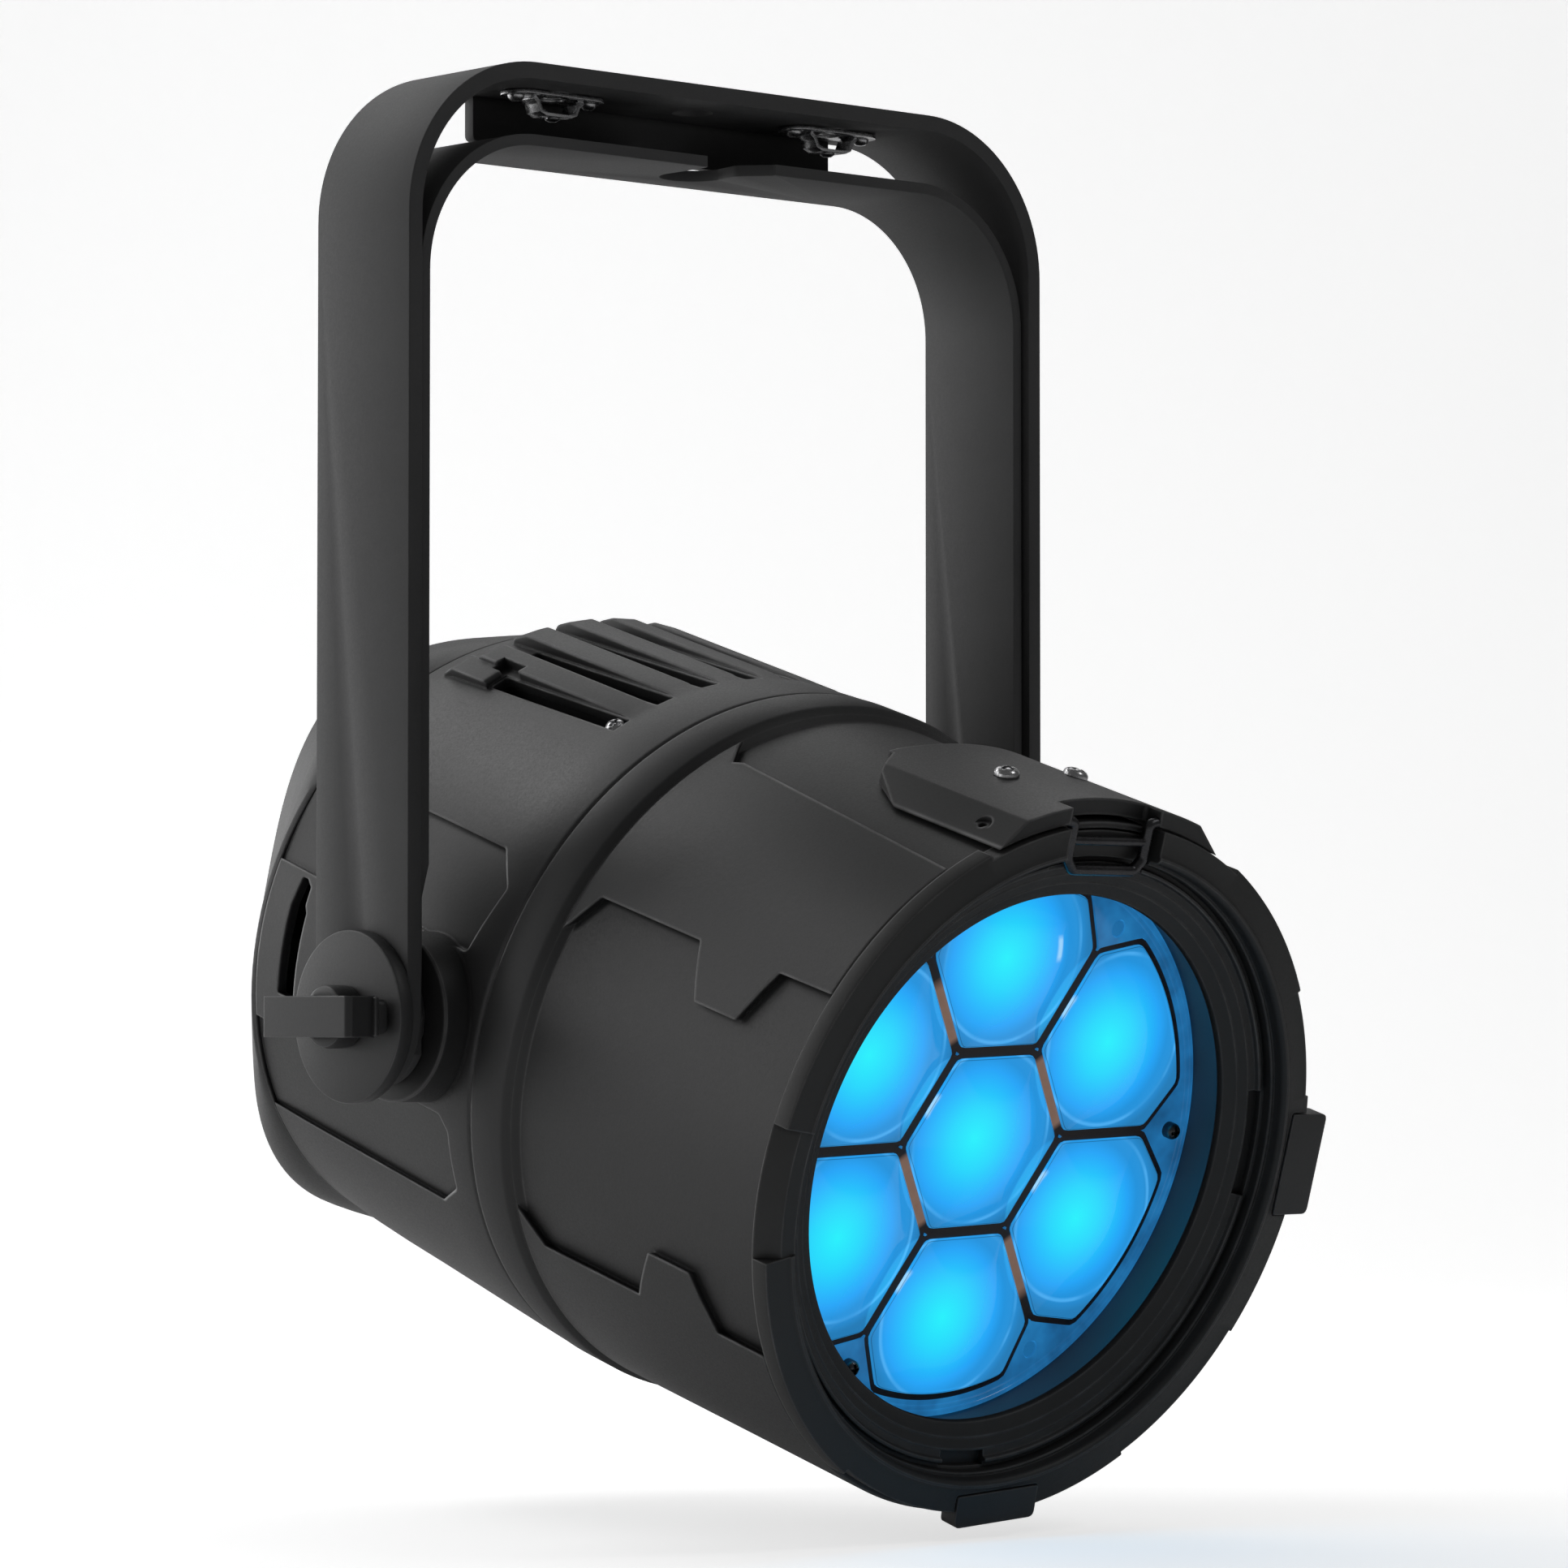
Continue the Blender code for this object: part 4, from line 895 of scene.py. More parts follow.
# side pockets: (station, angle from the top) and a corner radius for each
UPPER_POCKET = ([(-96, 60.5), (9, 60.5), (19.5, 66.3), (14, 78.2), (-96, 78.2)],
                [0, 2.5, 2.0, 2.5, 0])
LOWER_POCKET = ([(-96, 105.6), (13.5, 105.6), (17.8, 108.0), (18.3, 118.3), (8, 122.5),
                 (-96, 122.5)], [0, 2.0, 2.0, 2.5, 3.0, 0])
# ribs seen from the side: (height, station) and a corner radius for each
RIB = ([(98, -76.0), (107.6, -76.2), (110.6, -69.0), (110.6, 2.0), (109.9, 7.0), (98, 7.0)],
       [0, 3.5, 4.0, 0, 0, 0])
END_RIB = ([(98, -80.2), (105.6, -80.4), (109.3, -75.0), (109.4, -57.0), (98, -57.0)],
           [0, 3.0, 4.0, 1.5, 0])
BOSS = [(0, 100.0), (26.0, 100.0), (26.0, 119.9), (25.6, 120.45), (25.0, 120.6), (0, 120.6)]
# side vent: (height, station)
VENT = [(-18, -78.5), (-18, -69.0), (10.5, -69.0), (12.5, -70.6), (18.5, -70.6),
        (20.5, -73.5), (20.5, -76.5), (11.0, -78.5)]


def pocket_floor(station):
    """Housing radius at a station, less the depth of the pockets."""
    for (s0, r0), (s1, r1) in zip(HOUSING[:-1], HOUSING[1:]):
        if station <= s1:
            return r0 + (r1 - r0) * (station - s0) / (s1 - s0) - POCKET_DEPTH


def solid_core(profile):
    """Solid turned from (station, radius) points."""
    return turned([(0, profile[0][0])] + [(r, s) for s, r in profile] + [(0, profile[-1][0])])


def side_cutters(points, core_profile, mean_radius, radii):
    """Right and left cutters for a shallow pocket in a barrel: outline given
    as (station, angle from the top), cut down to the core profile."""
    flat = [(mean_radius * math.cos(math.radians(angle)), s) for s, angle in points]
    left = cut(outline(rounded(flat, radii), -130, -40, 'YZ'), solid_core(core_profile))
    return flipped(left), left


def rib(shape, width, roundness):
    """Rib at the top of the barrel with a rounded back and sides."""
    def on_top(edge):
        first, second = edge.verts
        return min(first.co.y, second.co.y) > 0.1035 and abs(first.co.x - second.co.x) < 1e-6

    ob = outline(rounded(*shape, 6), -width / 2, width / 2, 'YZ')
    return soft_edges(ob, roundness, segments=6, test=on_top)


shell = turned([(r, s) for s, r in HOUSING] + [(107.6, 30.1)]
               + [(r - 3.6, s) for s, r in reversed(HOUSING[:7])])
for vert in shell.data.vertices:        # behind the ribs the top drops to the rear cap
    if vert.co.z < -0.091 and vert.co.y > 0:
        vert.co.y *= CAP_TOP / CAP_HALF
housing_core = ([(-98.0, pocket_floor(-91.7))]
                + [(s, pocket_floor(s)) for s in (-75, -60, -40, -15, 10)]
                + [(32.0, pocket_floor(28))])
for points, radii in (UPPER_POCKET, LOWER_POCKET):
    shell = cut(shell, *side_cutters(points, housing_core, 109.0, radii))

ribs = [spin(rib(RIB, width=9.6, roundness=3.0), i * PITCH) for i in range(-3, 4)]
ribs += [spin(rib(END_RIB, width=9.0, roundness=3.2), i * PITCH)
         for i in (-OUTER_RIB, OUTER_RIB)]
shell = fuse(shell, joined(ribs))
for i in range(-4, 4):                  # slots between the ribs, the outermost shorter
    rear = -56.5 if i in (-4, 3) else -62.0
    slot = outline(rectangle(6.7 / 2, rear, 7.5, [1.6, 1.6, 0.8, 0.8], 4), 90, 120)
    shell = cut(shell, spin(bake(moved(slot, SWAP_YZ)), (i + 0.5) * PITCH))
for angle in (-29.6, 29.6):             # stepped rear end of the outermost slots
    shell = cut(shell, spin(box((-2.6, 2.6), (107.2, 120), (-61.5, -50)), angle))
for sign in (-1, 1):
    boss = moved(turned(BOSS, 144), shift(y=-AXIS_LIFT) @ rotation(90 * sign, 'Y'))
    hole = cylinder(PIVOT_HOLE, *sided(sign, 95.0, 130.0), 40, centre=(-AXIS_LIFT, 0),
                    plane='YZ')
    vent = outline(rounded(VENT, [1.2, 1.2, 1, 1, 1, 1, 1, 1], 4), *sided(sign, 85, 120), 'YZ')
    shell = cut(fuse(shell, boss), hole, vent)
put(shell, "rear_housing", "shell", BODY, sharp=32)

# ====================================================== rear cap
CAP = [     # (station, half width, top, bottom, exponent of the superellipse)
    (-92.0, CAP_HALF, CAP_TOP, 104.5, 2.0), (-94.0, 104.3, 99.2, 104.5, 2.05),
    (-112.0, 85.7, 93.0, 103.9, 2.95), (-132.0, 71.1, 85.5, 86.4, 3.1),
    (-150.0, 60.4, 78.5, 74.1, 2.85)]
CAP_STATIONS = [-92.0, -92.6, -94.0, -97, -100, -104, -108, -111, -112.6, -114, -118, -123,
                -128, -131, -132.8, -134.5, -138, -142, -146, -148.2]
CAP_ROUNDING = [(0.5, -149.3), (1.6, -149.9), (3.0, -150.0)]     # (inset, station)
CAP_COUNT = 144                         # points round the cap
THROUGH = (-160, -140)                  # stations of a cut through the back wall
BUTTONS = {"menu": -24.0, "up": -8.0, "down": 8.0, "enter": 24.0}    # x of each
BUTTON_V = 32
PLUGS = [   # (name, x, v, radius)
    ("power_in", -26.0, -4.0, 12.5), ("power_out", 26.0, -4.0, 12.5),
    ("data_in", -24.0, -42.0, 11.5), ("data_out", 24.0, -42.0, 11.5)]
CAP_SCREWS = [(-46, 58), (46, 58), (-46, -52), (46, -52)]


def cap_at(station):
    for a, b in zip(CAP[:-1], CAP[1:]):
        if station >= b[0] - 1e-9:
            t = (a[0] - station) / (a[0] - b[0])
            return [a[i] + (b[i] - a[i]) * t for i in range(1, 5)]


def cap_ring(bm, station, half, top, bottom, exponent):
    """Superellipse with its own height above and below the axis."""
    power = 2 / exponent
    ring = []
    for i in range(CAP_COUNT):
        angle = 2 * math.pi * i / CAP_COUNT
        cosine, sine = math.cos(angle), math.sin(angle)
        x = -half * math.copysign(abs(sine) ** power, sine)
        v = (top if cosine > 0 else bottom) * math.copysign(abs(cosine) ** power, cosine)
        ring.append(bm.verts.new((x * MM, v * MM, station * MM)))
    return ring


def cap_wall():
    bm = bmesh.new()
    rings = [cap_ring(bm, s, *cap_at(s)) for s in CAP_STATIONS]
    half, top, bottom, exponent = cap_at(CAP_STATIONS[-1])
    for inset, s in CAP_ROUNDING:
        rings.append(cap_ring(bm, s, half - inset, top - inset, bottom - inset, exponent))
    for ring, following in zip(rings[:-1], rings[1:]):
        for i in range(CAP_COUNT):
            j = (i + 1) % CAP_COUNT
            bm.faces.new((ring[i], ring[j], following[j], following[i]))
    bm.faces.new(rings[-1])
    bmesh.ops.recalc_face_normals(bm, faces=bm.faces)
    ob = wrap(bm)
    solidify = ob.modifiers.new("Solidify", 'SOLIDIFY')
    solidify.thickness = 3.0 * MM
    solidify.offset = -1
    solidify.use_even_offset = True
    return cut(bake(ob), cylinder(120, -92.0, -80.0, 16))


# raised control panel, with openings for the display, buttons and plugs
panel = soft_edges(outline(rectangle(34, 24, 75, 4, 6), -150.7, -149.0), 0.5)
cap = cut(fuse(cap_wall(), panel), outline(rectangle(26, 46, 70, 2), *THROUGH))
for x in BUTTONS.values():
    cap = cut(cap, cylinder(4.3, *THROUGH, 40, centre=(x, BUTTON_V)))
for _, x, v, radius in PLUGS:
    cap = cut(cap, cylinder(radius, *THROUGH, 64, centre=(x, v)))
for place in CAP_SCREWS:                # shallow wells
    cap = cut(cap, cylinder(4.0, -160, -148.6, 32, centre=place))
for i in range(5):                      # louvres below the panel
    cap = cut(cap, moved(box((-9, 9), (-0.9, 0.9), THROUGH), shift(y=-14 - 6 * i)))
put(cap, "rear_cap", "shell", BODY, sharp=26)

screws = []
for place in CAP_SCREWS:
    head = turned([(0, -149.4), (2.0, -149.3), (3.2, -148.4), (3.3, -147.6), (0, -147.6)], 32)
    screws.append(moved(cross_recess(head, 1.9, 0.4, -151, -148.7, turn=20), shift(*place)))
put(joined(screws), "rear_cap", "screws", DARK_STEEL, replaces=False)

# ====================================================== front tube
TUBE = [    # (radius, station)
    (111.4, 31.0), (111.4, 45.4), (111.1, 46.0), (109.3, 48.2), (109.3, 48.6), (109.85, 49.3),
    (109.9, 50.2), (109.2, 105.0), (108.6, 160.6), (108.2, 161.0), (104.3, 161.0),
    (104.3, 30.4), (110.8, 30.4)]
TUBE_MEAN = 109.3
TUBE_CORE = [   # floor of the recessed panels: (station, radius)
    (28.0, 113.0), (45.6, 111.7), (46.4, 110.8), (50.6, 107.4), (105.0, 106.7), (176.0, 106.0)]
SIDE_PANEL = [  # (station, angle from the top, corner radius)
    (45.0, 70.5, 0), (50.5, 67.3, 0.8), (57.0, 61.6, 0.8), (103.0, 61.6, 0.8),
    (113.0, 70.6, 0.8), (131.5, 70.6, 0.8), (138.3, 61.3, 0.8), (175.0, 61.0, 0),
    (175.0, 121.2, 0), (140.0, 121.0, 0.8), (131.5, 111.8, 0.8), (112.8, 111.8, 0.8),
    (103.8, 121.2, 0.8), (59.0, 121.2, 0.8), (50.5, 116.5, 0.8), (45.0, 113.8, 0)]
# left edge of the top panel: (station, angle from the top)
TOP_PANEL = [(45.0, 21.8), (50.5, 26.3), (57.0, 30.4), (60.5, 29.6), (175.0, 33.6)]

side_points = [(s, angle) for s, angle, _ in SIDE_PANEL]
side_radii = [radius for _, _, radius in SIDE_PANEL]
tube = cut(turned(TUBE), *side_cutters(side_points, TUBE_CORE, TUBE_MEAN, side_radii))
top_points = mirrored([(-TUBE_MEAN * math.sin(math.radians(angle)), s)
                       for s, angle in TOP_PANEL])
tube = cut(tube, cut(outline(top_points, 40, 130, 'XZ'), solid_core(TUBE_CORE)))
put(tube, "front_tube", "shell", BODY, sharp=32)

# ====================================================== accessory plate
plate = outline(arc(0, 0, 112.7, 90 - 18.4, 90 + 18.4, 40)
                + arc(0, 0, 107.7, 90 + 24.6, 90 - 24.6, 48), 94.0, 165.6)
# waste at the rear corners: (x, station)
REAR_CORNER = [(28.0, 90), (28.0, 96.0), (37.5, 102.5), (46.0, 121.0), (60, 121), (60, 90)]
for sign in (-1, 1):
    plate = cut(plate, outline([(x * sign, s) for x, s in REAR_CORNER], 80, 130, 'XZ'))
front_notch = outline(rectangle(18.5, 158.6, 175, [1.5, 1.5, 0, 0], 4), 90, 130, 'XZ')
# the rear edge slopes down to the tube
REAR_SLOPE = [(114, 92.0), (114, 97.6), (112.9, 96.4), (109.4, 93.6), (106, 93.0), (106, 92.0)]
plate = cut(plate, front_notch, outline(REAR_SLOPE, -60, 60, 'YZ'))
for sign in (-1, 1):                    # stepped holes near the front corners
    for radius, bottom in ((2.9, 109.6), (1.4, 107.9)):
        plate = cut(plate, on_barrel(cylinder(radius, bottom, 120, 32), 152, 21.6 * sign))
put(plate, "accessory_plate", "cover", BODY, sharp=22)

PLATE_SCREW = dict(radius=3.9, crown=115.5, seat=112.75)
VENT_SCREW = dict(radius=3.4, crown=110.3, seat=100.0)
for part, size, station, angle in (
        ("plate_screw_left", PLATE_SCREW, 131.0, 7.2),
        ("plate_screw_right", PLATE_SCREW, 128.0, -8.8),
        ("vent_screw_left", VENT_SCREW, 3.6, OUTER_RIB * PITCH),
        ("vent_screw_right", VENT_SCREW, 3.6, -OUTER_RIB * PITCH)):
    put(on_barrel(dome_screw(**size), station, angle), part, "head", STEEL, sharp=40)

# ====================================================== front bezel
BEZEL = [   # (radius, station)
    (108.5, 161.3), (108.5, 166.7), (108.2, 167.35), (107.6, 167.6), (99.9, 167.6),
    (99.6, 167.75), (99.1, 168.1), (98.4, 168.15), (97.7, 167.8), (97.2, 167.1), (97.0, 166.2),
    (96.9, 164.1), (96.7, 163.75), (96.1, 163.75), (95.8, 163.4), (95.6, 160.2), (94.2, 159.9),
    (94.0, 161.1), (93.7, 161.35), (92.9, 161.3), (92.6, 160.9), (92.3, 159.9), (90.2, 159.3),
    (89.9, 159.5), (89.3, 159.2), (86.9, 157.9), (86.6, 158.05), (86.0, 157.6), (83.3, 156.2),
    (82.6, 155.9), (82.3, 155.3), (82.3, 153.7), (96.0, 153.7), (98.5, 157.0), (103.6, 157.0),
    (103.6, 161.3)]
RIM_CUTS = [(-30, 27), (-78, -58.5), (-148, -119.5), (148, 184)]    # angles trimmed outside
RIGHT_CLIP, BOTTOM_CLIP = -89.6, 184.0                              # angles from the top
RECESSES = [    # for the latch and clips: (half width, inner radius, floor, angle)
    (19.3, 90.0, 161.0, 0), (16.6, 100.4, 161.1, RIGHT_CLIP), (16.6, 100.4, 161.1, BOTTOM_CLIP)]
SCOOP = [(101.4, 167.9), (101.4, 172.0), (124.0, 172.0), (124.0, 160.6), (109.3, 160.6),
         (107.6, 162.6)]
LEFT_NOTCH = (82.3, 103.8)                                          # angles

bezel = turned(BEZEL)
for start, end in RIM_CUTS:
    steps = max(12, int(abs(end - start)))
    bezel = cut(bezel, outline(sector(106.9, 118, start, end, steps), 158, 172))
for half, inner_radius, floor, angle in RECESSES:
    recess = outline(rectangle(half, inner_radius, 120, [1.2, 1.2, 0, 0], 4), floor, 175)
    bezel = cut(bezel, spin(recess, angle))
# scooped notch on the left side
scoop = combine(turned(SCOOP), outline(sector(80, 130, *LEFT_NOTCH), 150, 180), 'INTERSECT')
bezel = cut(bezel, scoop, outline(sector(95.0, 103.0, *LEFT_NOTCH), 167.1, 172))
# slots in the sloping inner wall near the two clips
for angle, half in ((-86.5, 10.5), (178.0, 5.6)):
    slot = sector(90.4, 94.9, angle - half, angle + half, 20)
    bezel = cut(bezel, outline(slot, 157.6, 164.5))
put(bezel, "front_bezel", "ring", RIM, sharp=30)


def clip(outer_radius, angle):
    """Plain clip block with rounded corners."""
    block = outline(rectangle(16.2, 100.8, outer_radius, [0.6, 0.6, 2.2, 2.2]), 161.8, 168.2)
    return spin(soft_edges(block, 0.9, segments=4), angle)


put(clip(115.4, RIGHT_CLIP), "clip_right", "block", PLASTIC)
put(clip(110.8, BOTTOM_CLIP), "clip_bottom", "block", PLASTIC)

# latch: a bent wire bail with a cross wire, in the recess at the top
LATCH_V, LATCH_S = 107.0, 163.9
LATCH_HALF = 15.6
bail = mirrored([(-18.6, LATCH_V), (-LATCH_HALF, LATCH_V - 0.6), (-LATCH_HALF, 95.6),
                 (-12.6, 92.2)])
bail = rounded(bail, [0, 2.4, 3.0, 2.2, 2.2, 3.0, 2.4, 0], 7)
latch = joined([wire(bail, LATCH_S, 1.75),
                wire([(-LATCH_HALF, 101.0), (LATCH_HALF, 101.0)], LATCH_S, 1.35)])
put(latch, "latch_wire", "bail", DARK_STEEL, body="latch", sharp=50)

# ====================================================== lens carriage
sleeve = turned([(90.3, 34.0), (90.3, 153.3), (88.9, 153.3), (88.3, 152.8), (88.3, 34.0)])
put(sleeve, "lens_sleeve", "tube", SLEEVE)

CELL = 32.7                             # corner radius of a cell's hexagon
JOINT = 1.75                            # taken off each side of a hexagon
HALF_FLATS = CELL * math.cos(math.radians(30)) - JOINT
OUTER_HALF = 31.1                       # reach of an outer cell's two outer sides
CLUSTER_R = 80.0
SEAT_S, RIM_S, TOP_S = 131.3, 138.4, 144.6      # stations of a cell's foot, rim and crown
CENTRES = [(0.0, 0.0)] + [polar(CELL * math.sqrt(3), 30 + 60 * i + CLUSTER_TURN)
                          for i in range(6)]
GLINTS = [152.0, 150.0, 8.0, 165.0, 200.0, 148.0, 146.0]    # direction of each cell's painted glint
CELL_ANGLES, CELL_RINGS = 144, 24
RIM_INSET = 0.6                         # where the dome ends inside the cell's edge
CELL_WALL = [   # below the dome: (inset, drop from the rim, "glow" value)
    (0.30, 0.10, 0.55), (0.08, 0.32, 0.60), (0.0, 0.75, 0.60), (0.0, 2.6, 0.34),
    (0.0, 5.0, 0.75), (0.0, RIM_S - SEAT_S, 1.0)]


def cell_edge(x, y, angle, grow=0.0):
    """Distance from a cell's middle to its edge in one direction: a hexagon
    in the middle; the outer cells have wider outer corners and are cut by the
    round outside of the cluster."""
    half = HALF_FLATS + grow
    central = x * x + y * y < 1.0
    if central:
        sides = [(30 + 60 * i + CLUSTER_TURN, half) for i in range(6)]
    else:
        out = math.degrees(math.atan2(y, x))
        sides = [(out + 180, half), (out + 120, half), (out - 120, half),
                 (out + 68.7, OUTER_HALF + grow), (out - 68.7, OUTER_HALF + grow)]
    # a high power mean rounds the corners a little
    total = 0.0
    for side_angle, distance in sides:
        facing = math.cos(angle - math.radians(side_angle))
        if facing > 1e-6:
            total += (facing / distance) ** 60
    if not central:
        b = x * math.cos(angle) + y * math.sin(angle)
        c = x * x + y * y - (CLUSTER_R + grow) ** 2
        total += (1.0 / (-b + math.sqrt(max(b * b - c, 0)))) ** 60
    return total ** (-1 / 60)


def lens_cell(x, y, glint):
    """Convex cell whose rim stays level along its straight sides."""
    bm = bmesh.new()
    centre = bm.verts.new((x * MM, y * MM, TOP_S * MM))
    glow = [0.0]
    angles = [2 * math.pi * i / CELL_ANGLES for i in range(CELL_ANGLES)]
    edges = [cell_edge(x, y, angle) for angle in angles]
    rings = []

    def add_ring(reaches, z, glow_value):
        rings.append([bm.verts.new(((x + reach * math.cos(angle)) * MM,
                                    (y + reach * math.sin(angle)) * MM, z * MM))
                      for angle, reach in zip(angles, reaches)])
        glow.extend([glow_value] * CELL_ANGLES)

    round_reach = HALF_FLATS - RIM_INSET
    for j in range(1, CELL_RINGS + 1):
        t = 1 - (1 - j / CELL_RINGS) ** 1.35
        # rings are round in the middle and take the cell's outline at the rim
        reaches = [round_reach * t * (1 - t ** 3) + (edge - RIM_INSET) * t * t ** 3
                   for edge in edges]
        add_ring(reaches, RIM_S + (TOP_S - RIM_S) * (1 - t ** 2.15), 0.0)
    for inset, drop, glow_value in CELL_WALL:
        add_ring([edge - inset for edge in edges], RIM_S - drop, glow_value)
    for i in range(CELL_ANGLES):
        bm.faces.new((centre, rings[0][i], rings[0][(i + 1) % CELL_ANGLES]))
    for ring, following in zip(rings[:-1], rings[1:]):
        for i in range(CELL_ANGLES):
            j = (i + 1) % CELL_ANGLES
            bm.faces.new((ring[i], following[i], following[j], ring[j]))
    bm.faces.new(list(reversed(rings[-1])))
    bmesh.ops.recalc_face_normals(bm, faces=bm.faces)
    ob = wrap(bm)
    # read by the lens material: wall shade, middle of the glowing plane, glint direction
    attributes = ob.data.attributes
    attributes.new("glow", 'FLOAT', 'POINT').data.foreach_set("value", glow)
    middle = HEAD @ Vector((x * MM, y * MM, 133.0 * MM))
    for name, value in (("cell", middle), ("glint", across(glint))):
        attribute = attributes.new(name, 'FLOAT_VECTOR', 'POINT')
        attribute.data.foreach_set("vector", list(value) * len(glow))
    return ob


def cell_prisms(grow, low, high):
    """One prism for each cell, its outline grown outwards."""
    prisms = []
    for x, y in CENTRES:
        points = []
        for i in range(96):
            angle = 2 * math.pi * i / 96
            edge = cell_edge(x, y, angle, grow)
            points.append((x + edge * math.cos(angle), y + edge * math.sin(angle)))
        prisms.append(outline(points, low, high))
    return prisms


for i, ((x, y), glint) in enumerate(zip(CENTRES, GLINTS)):
    put(lens_cell(x, y, glint), f"lens_cell_{i}", "dome", LENS, body="carriage", sharp=50)

# tray just below the cell rims, with two faint rings turned into its edge
TRAY_S = 138.2
carrier = turned([(0, 127.0), (87.3, 127.0), (87.3, 137.7), (86.9, TRAY_S), (85.6, TRAY_S),
                  (85.3, 137.8), (85.0, TRAY_S), (83.9, TRAY_S), (83.6, 137.9), (83.3, TRAY_S),
                  (0, TRAY_S)])
carrier = cut(carrier, *cell_prisms(2.1, 131.0, 142.0))
for centre in CENTRES:
    carrier = cut(carrier, cylinder(22.0, 120, 140, 72, centre=centre))
for angle in (180.0, 60.0, 300.0):
    carrier = cut(carrier, cylinder(2.85, 120, 142, 32, centre=polar(77.5, angle)))
put(carrier, "lens_carrier", "tray", TRAY, body="carriage")

# dark gasket that stands up in the joints and around the cells
gasket = cut(fuse(*cell_prisms(2.0, 131.05, 137.5)), *cell_prisms(0.06, 130.0, 140.0))
put(gasket, "lens_joint", "gasket", GASKET, body="carriage", replaces=False)
for i in range(3):
    head = dome_screw(radius=2.6, crown=142.2, seat=TRAY_S + 0.02, segments=32)
    put(moved(head, shift(*polar(78.6, 120 * i + CLUSTER_TURN))), f"lens_screw_{i}", "head",
        DARK_STEEL, body="carriage", sharp=40)

# ====================================================== rear controls
window = outline(rectangle(25.7, 46.3, 69.7, 1.8), -149.6, -147.2)
put(soft_edges(window, 0.3), "display_window", "pane", WINDOW)
BUTTON = [(0, -152.2), (2.6, -152.15), (3.4, -151.8), (3.75, -151.0), (3.8, -146.6),
          (5.2, -146.4), (5.2, -144.8), (0, -144.8)]
for name, x in BUTTONS.items():
    part = "button_" + name
    put(moved(turned(BUTTON, 40), shift(x, BUTTON_V)), part, "cap", RUBBER, body=part)


def socket(radius, power):
    """Cup with a collar; power ones hold a core and three blades, data ones five pins."""
    bits = [turned([(0, -143.0), (radius - 3.2, -143.0), (radius - 3.2, -151.9),
                    (radius - 2.8, -152.4), (radius + 1.7, -152.4), (radius + 2.2, -151.9),
                    (radius + 2.2, -150.75), (radius - 0.6, -150.75), (radius - 0.6, -134.0),
                    (0, -134.0)], 72)]
    contact = (-148.5, -142.9)
    if power:
        bits.append(turned([(0, -143.0), (4.2, -143.0), (4.2, -149.0), (3.6, -149.6),
                            (0, -149.6)], 40))
        for angle in (90, 210, 330):
            blade = box((-1.3, 1.3), (-0.5, 0.5), contact)
            bits.append(moved(blade, shift(*polar(6.2, angle)) @ rotation(angle + 90)))
    else:
        for angle in (30, 102, 174, 246, 318):
            bits.append(moved(cylinder(0.8, *contact, 16), shift(*polar(4.4, angle))))
    return joined(bits)


for name, x, v, radius in PLUGS:
    plug = socket(radius, power=name.startswith("power"))
    put(moved(plug, shift(x, v)), name, "socket", PLASTIC)

# ====================================================== hidden pieces keep their CAD shape
INNER_FINISH = {
    "housing_seal": RUBBER, "zoom_motor": DARK_STEEL, "guide_rod_upper": ROD,
    "guide_rod_lower": ROD, "led_board": BOARD, "heat_sink": SINK, "fan_frame": DARK_PLASTIC,
    "fan_rotor": DARK_PLASTIC, "power_supply": ALUMINIUM, "control_board": BOARD,
    "zoom_lead_screw": STEEL, "yoke_washer_left": PLASTIC, "yoke_washer_right": PLASTIC,
    "hub_washer_left": PLASTIC, "hub_washer_right": PLASTIC}
for name, ob in frame["nodes"].items():
    if not ob.hide_render:
        ob.data.materials.clear()
        ob.data.materials.append(INNER_FINISH.get(name, BODY))

# ====================================================== stage, light, camera (metres)
# level directions as the camera sees them
AWAY = Vector((0.6556, 0.7551, 0))
RIGHT = Vector((0.7551, -0.6556, 0))
UP = Vector((0, 0, 1))


def stage_floor():
    """Pale floor that curves up into a backdrop behind the object."""
    floor_z = CAD_BOX[0][2] - 0.004
    bend = 0.9
    profile = [(-3.2, 0.0)]             # (distance away, height)
    for degrees in range(0, 91, 6):
        angle = math.radians(degrees)
        profile.append((1.6 + bend * math.sin(angle), bend - bend * math.cos(angle)))
    profile.append((2.5, 4.5))
    bm = bmesh.new()
    left, right = [[bm.verts.new(AWAY * away + RIGHT * side + Vector((0, 0, floor_z + height)))
                    for away, height in profile] for side in (-3.4, 3.4)]
    for i in range(len(profile) - 1):
        bm.faces.new((left[i], right[i], right[i + 1], left[i + 1]))
    ob = wrap(bm, "studio_floor")
    relink(ob, scene.collection)
    ob.data.shade_smooth()
    net = Shader("studio_paper")
    cloud = net.noise(net.position(), scale=3.0, detail=3.0, rough=0.5)
    seen_directly = net.node("LightPath").outputs["Is Camera Ray"]
    net.surface({
        "Base Color": net.mix(cloud, (0.90, 0.90, 0.90), (0.93, 0.93, 0.93)),
        "Roughness": 0.9,
        "Emission Color": (1, 1, 1),
        "Emission Strength": net.times(seen_directly, 0.62)})
    ob.data.materials.append(net.material)


stage_floor()


def seen(right, away, up):
    return RIGHT * right + AWAY * away + UP * up


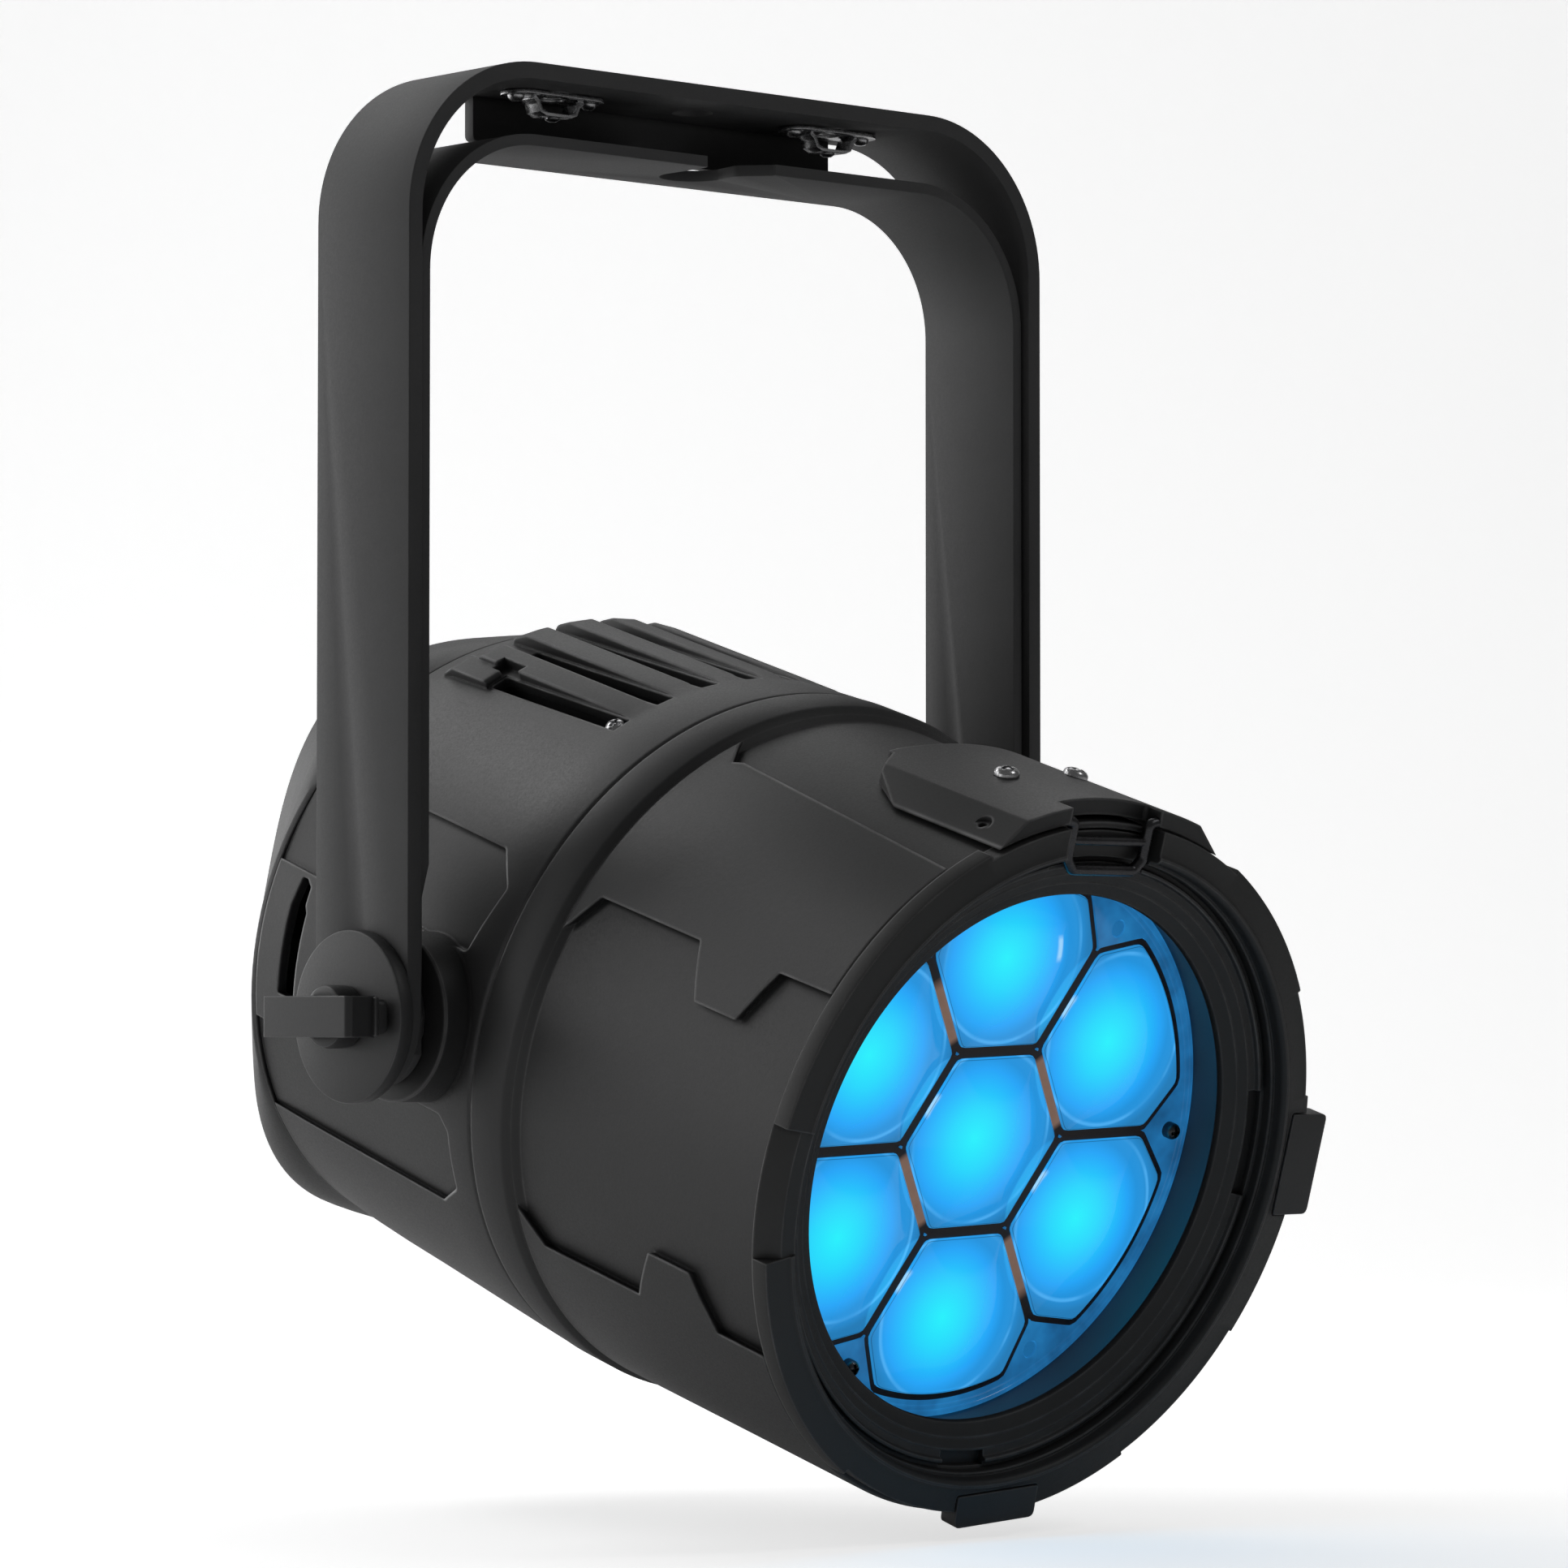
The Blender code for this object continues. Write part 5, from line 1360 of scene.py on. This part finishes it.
LIGHTS = [  # (name, place, target, width, height, power); places as (right, away, up)
    ("key_left", (-1.9, 0.25, 0.7), (0, 0, 0), 1.5, 1.6, 10.8),
    ("top_left", (-1.3, 0.7, 1.7), (0, 0, 0.1), 0.9, 0.7, 9.0),
    ("top_soft", (-0.1, 1.3, 1.7), (0, 0, 0), 1.8, 1.2, 8.4),
    ("low_left", (-1.3, -0.9, -0.05), (0, 0, 0), 0.8, 0.5, 1.5),
    ("rear_left", (-1.5, 1.5, 0.25), (0, 0.1, 0), 0.9, 0.9, 7),
    ("right_rim", (1.3, -0.5, 1.25), (0, 0, -0.05), 0.45, 0.45, 2.2)]
for name, place, target, width, height, power in LIGHTS:
    light = bpy.data.lights.new(name, 'AREA')
    light.energy = power
    light.shape = 'RECTANGLE'
    light.size = width
    light.size_y = height
    ob = bpy.data.objects.new(name, light)
    scene.collection.objects.link(ob)
    ob.location = seen(*place)
    ob.rotation_euler = (seen(*target) - seen(*place)).to_track_quat('-Z', 'Y').to_euler()

# the glow of the cells lights the sleeve but not the face of the bezel
no_glow = bpy.data.collections.new("no_glow")
no_glow.objects.link(bpy.data.objects["front_bezel_ring"])
no_glow.collection_objects[0].light_linking.link_state = 'EXCLUDE'
for ob in bpy.data.objects:
    if ob.name.startswith("lens_cell") or ob.name == "lens_carrier_tray":
        ob.light_linking.receiver_collection = no_glow

scene.view_settings.view_transform = 'Standard'
scene.view_settings.look = 'None'
world = bpy.data.worlds.new("studio_world")
scene.world = world
world.use_nodes = True
tree = world.node_tree
background = tree.nodes["Background"].inputs
background["Color"].default_value = (1, 1, 1, 1)
light_path = tree.nodes.new("ShaderNodeLightPath")
strength = tree.nodes.new("ShaderNodeMapRange")
strength.inputs["To Min"].default_value = 0.085     # soft fill in the room
strength.inputs["To Max"].default_value = 1.0       # seen directly
tree.links.new(light_path.outputs["Is Camera Ray"], strength.inputs["Value"])
tree.links.new(strength.outputs[0], background["Strength"])

camera_data = bpy.data.cameras.new("camera")
camera = bpy.data.objects.new("camera", camera_data)
scene.collection.objects.link(camera)
camera_data.lens = 139.0
camera_data.sensor_width = 36.0
camera_data.clip_start = 0.05
camera_data.clip_end = 20
camera.location = PIVOT + Vector((-1.2589, -1.4503, 0.0))
aim = (AWAY + RIGHT * 0.01509 + UP * 0.03844).normalized()
camera_right = aim.cross(UP).normalized()
camera_up = camera_right.cross(aim).normalized()
camera.rotation_euler = Matrix((camera_right, camera_up, -aim)).transposed().to_euler()
scene.camera = camera

bpy.data.collections.remove(WORK)
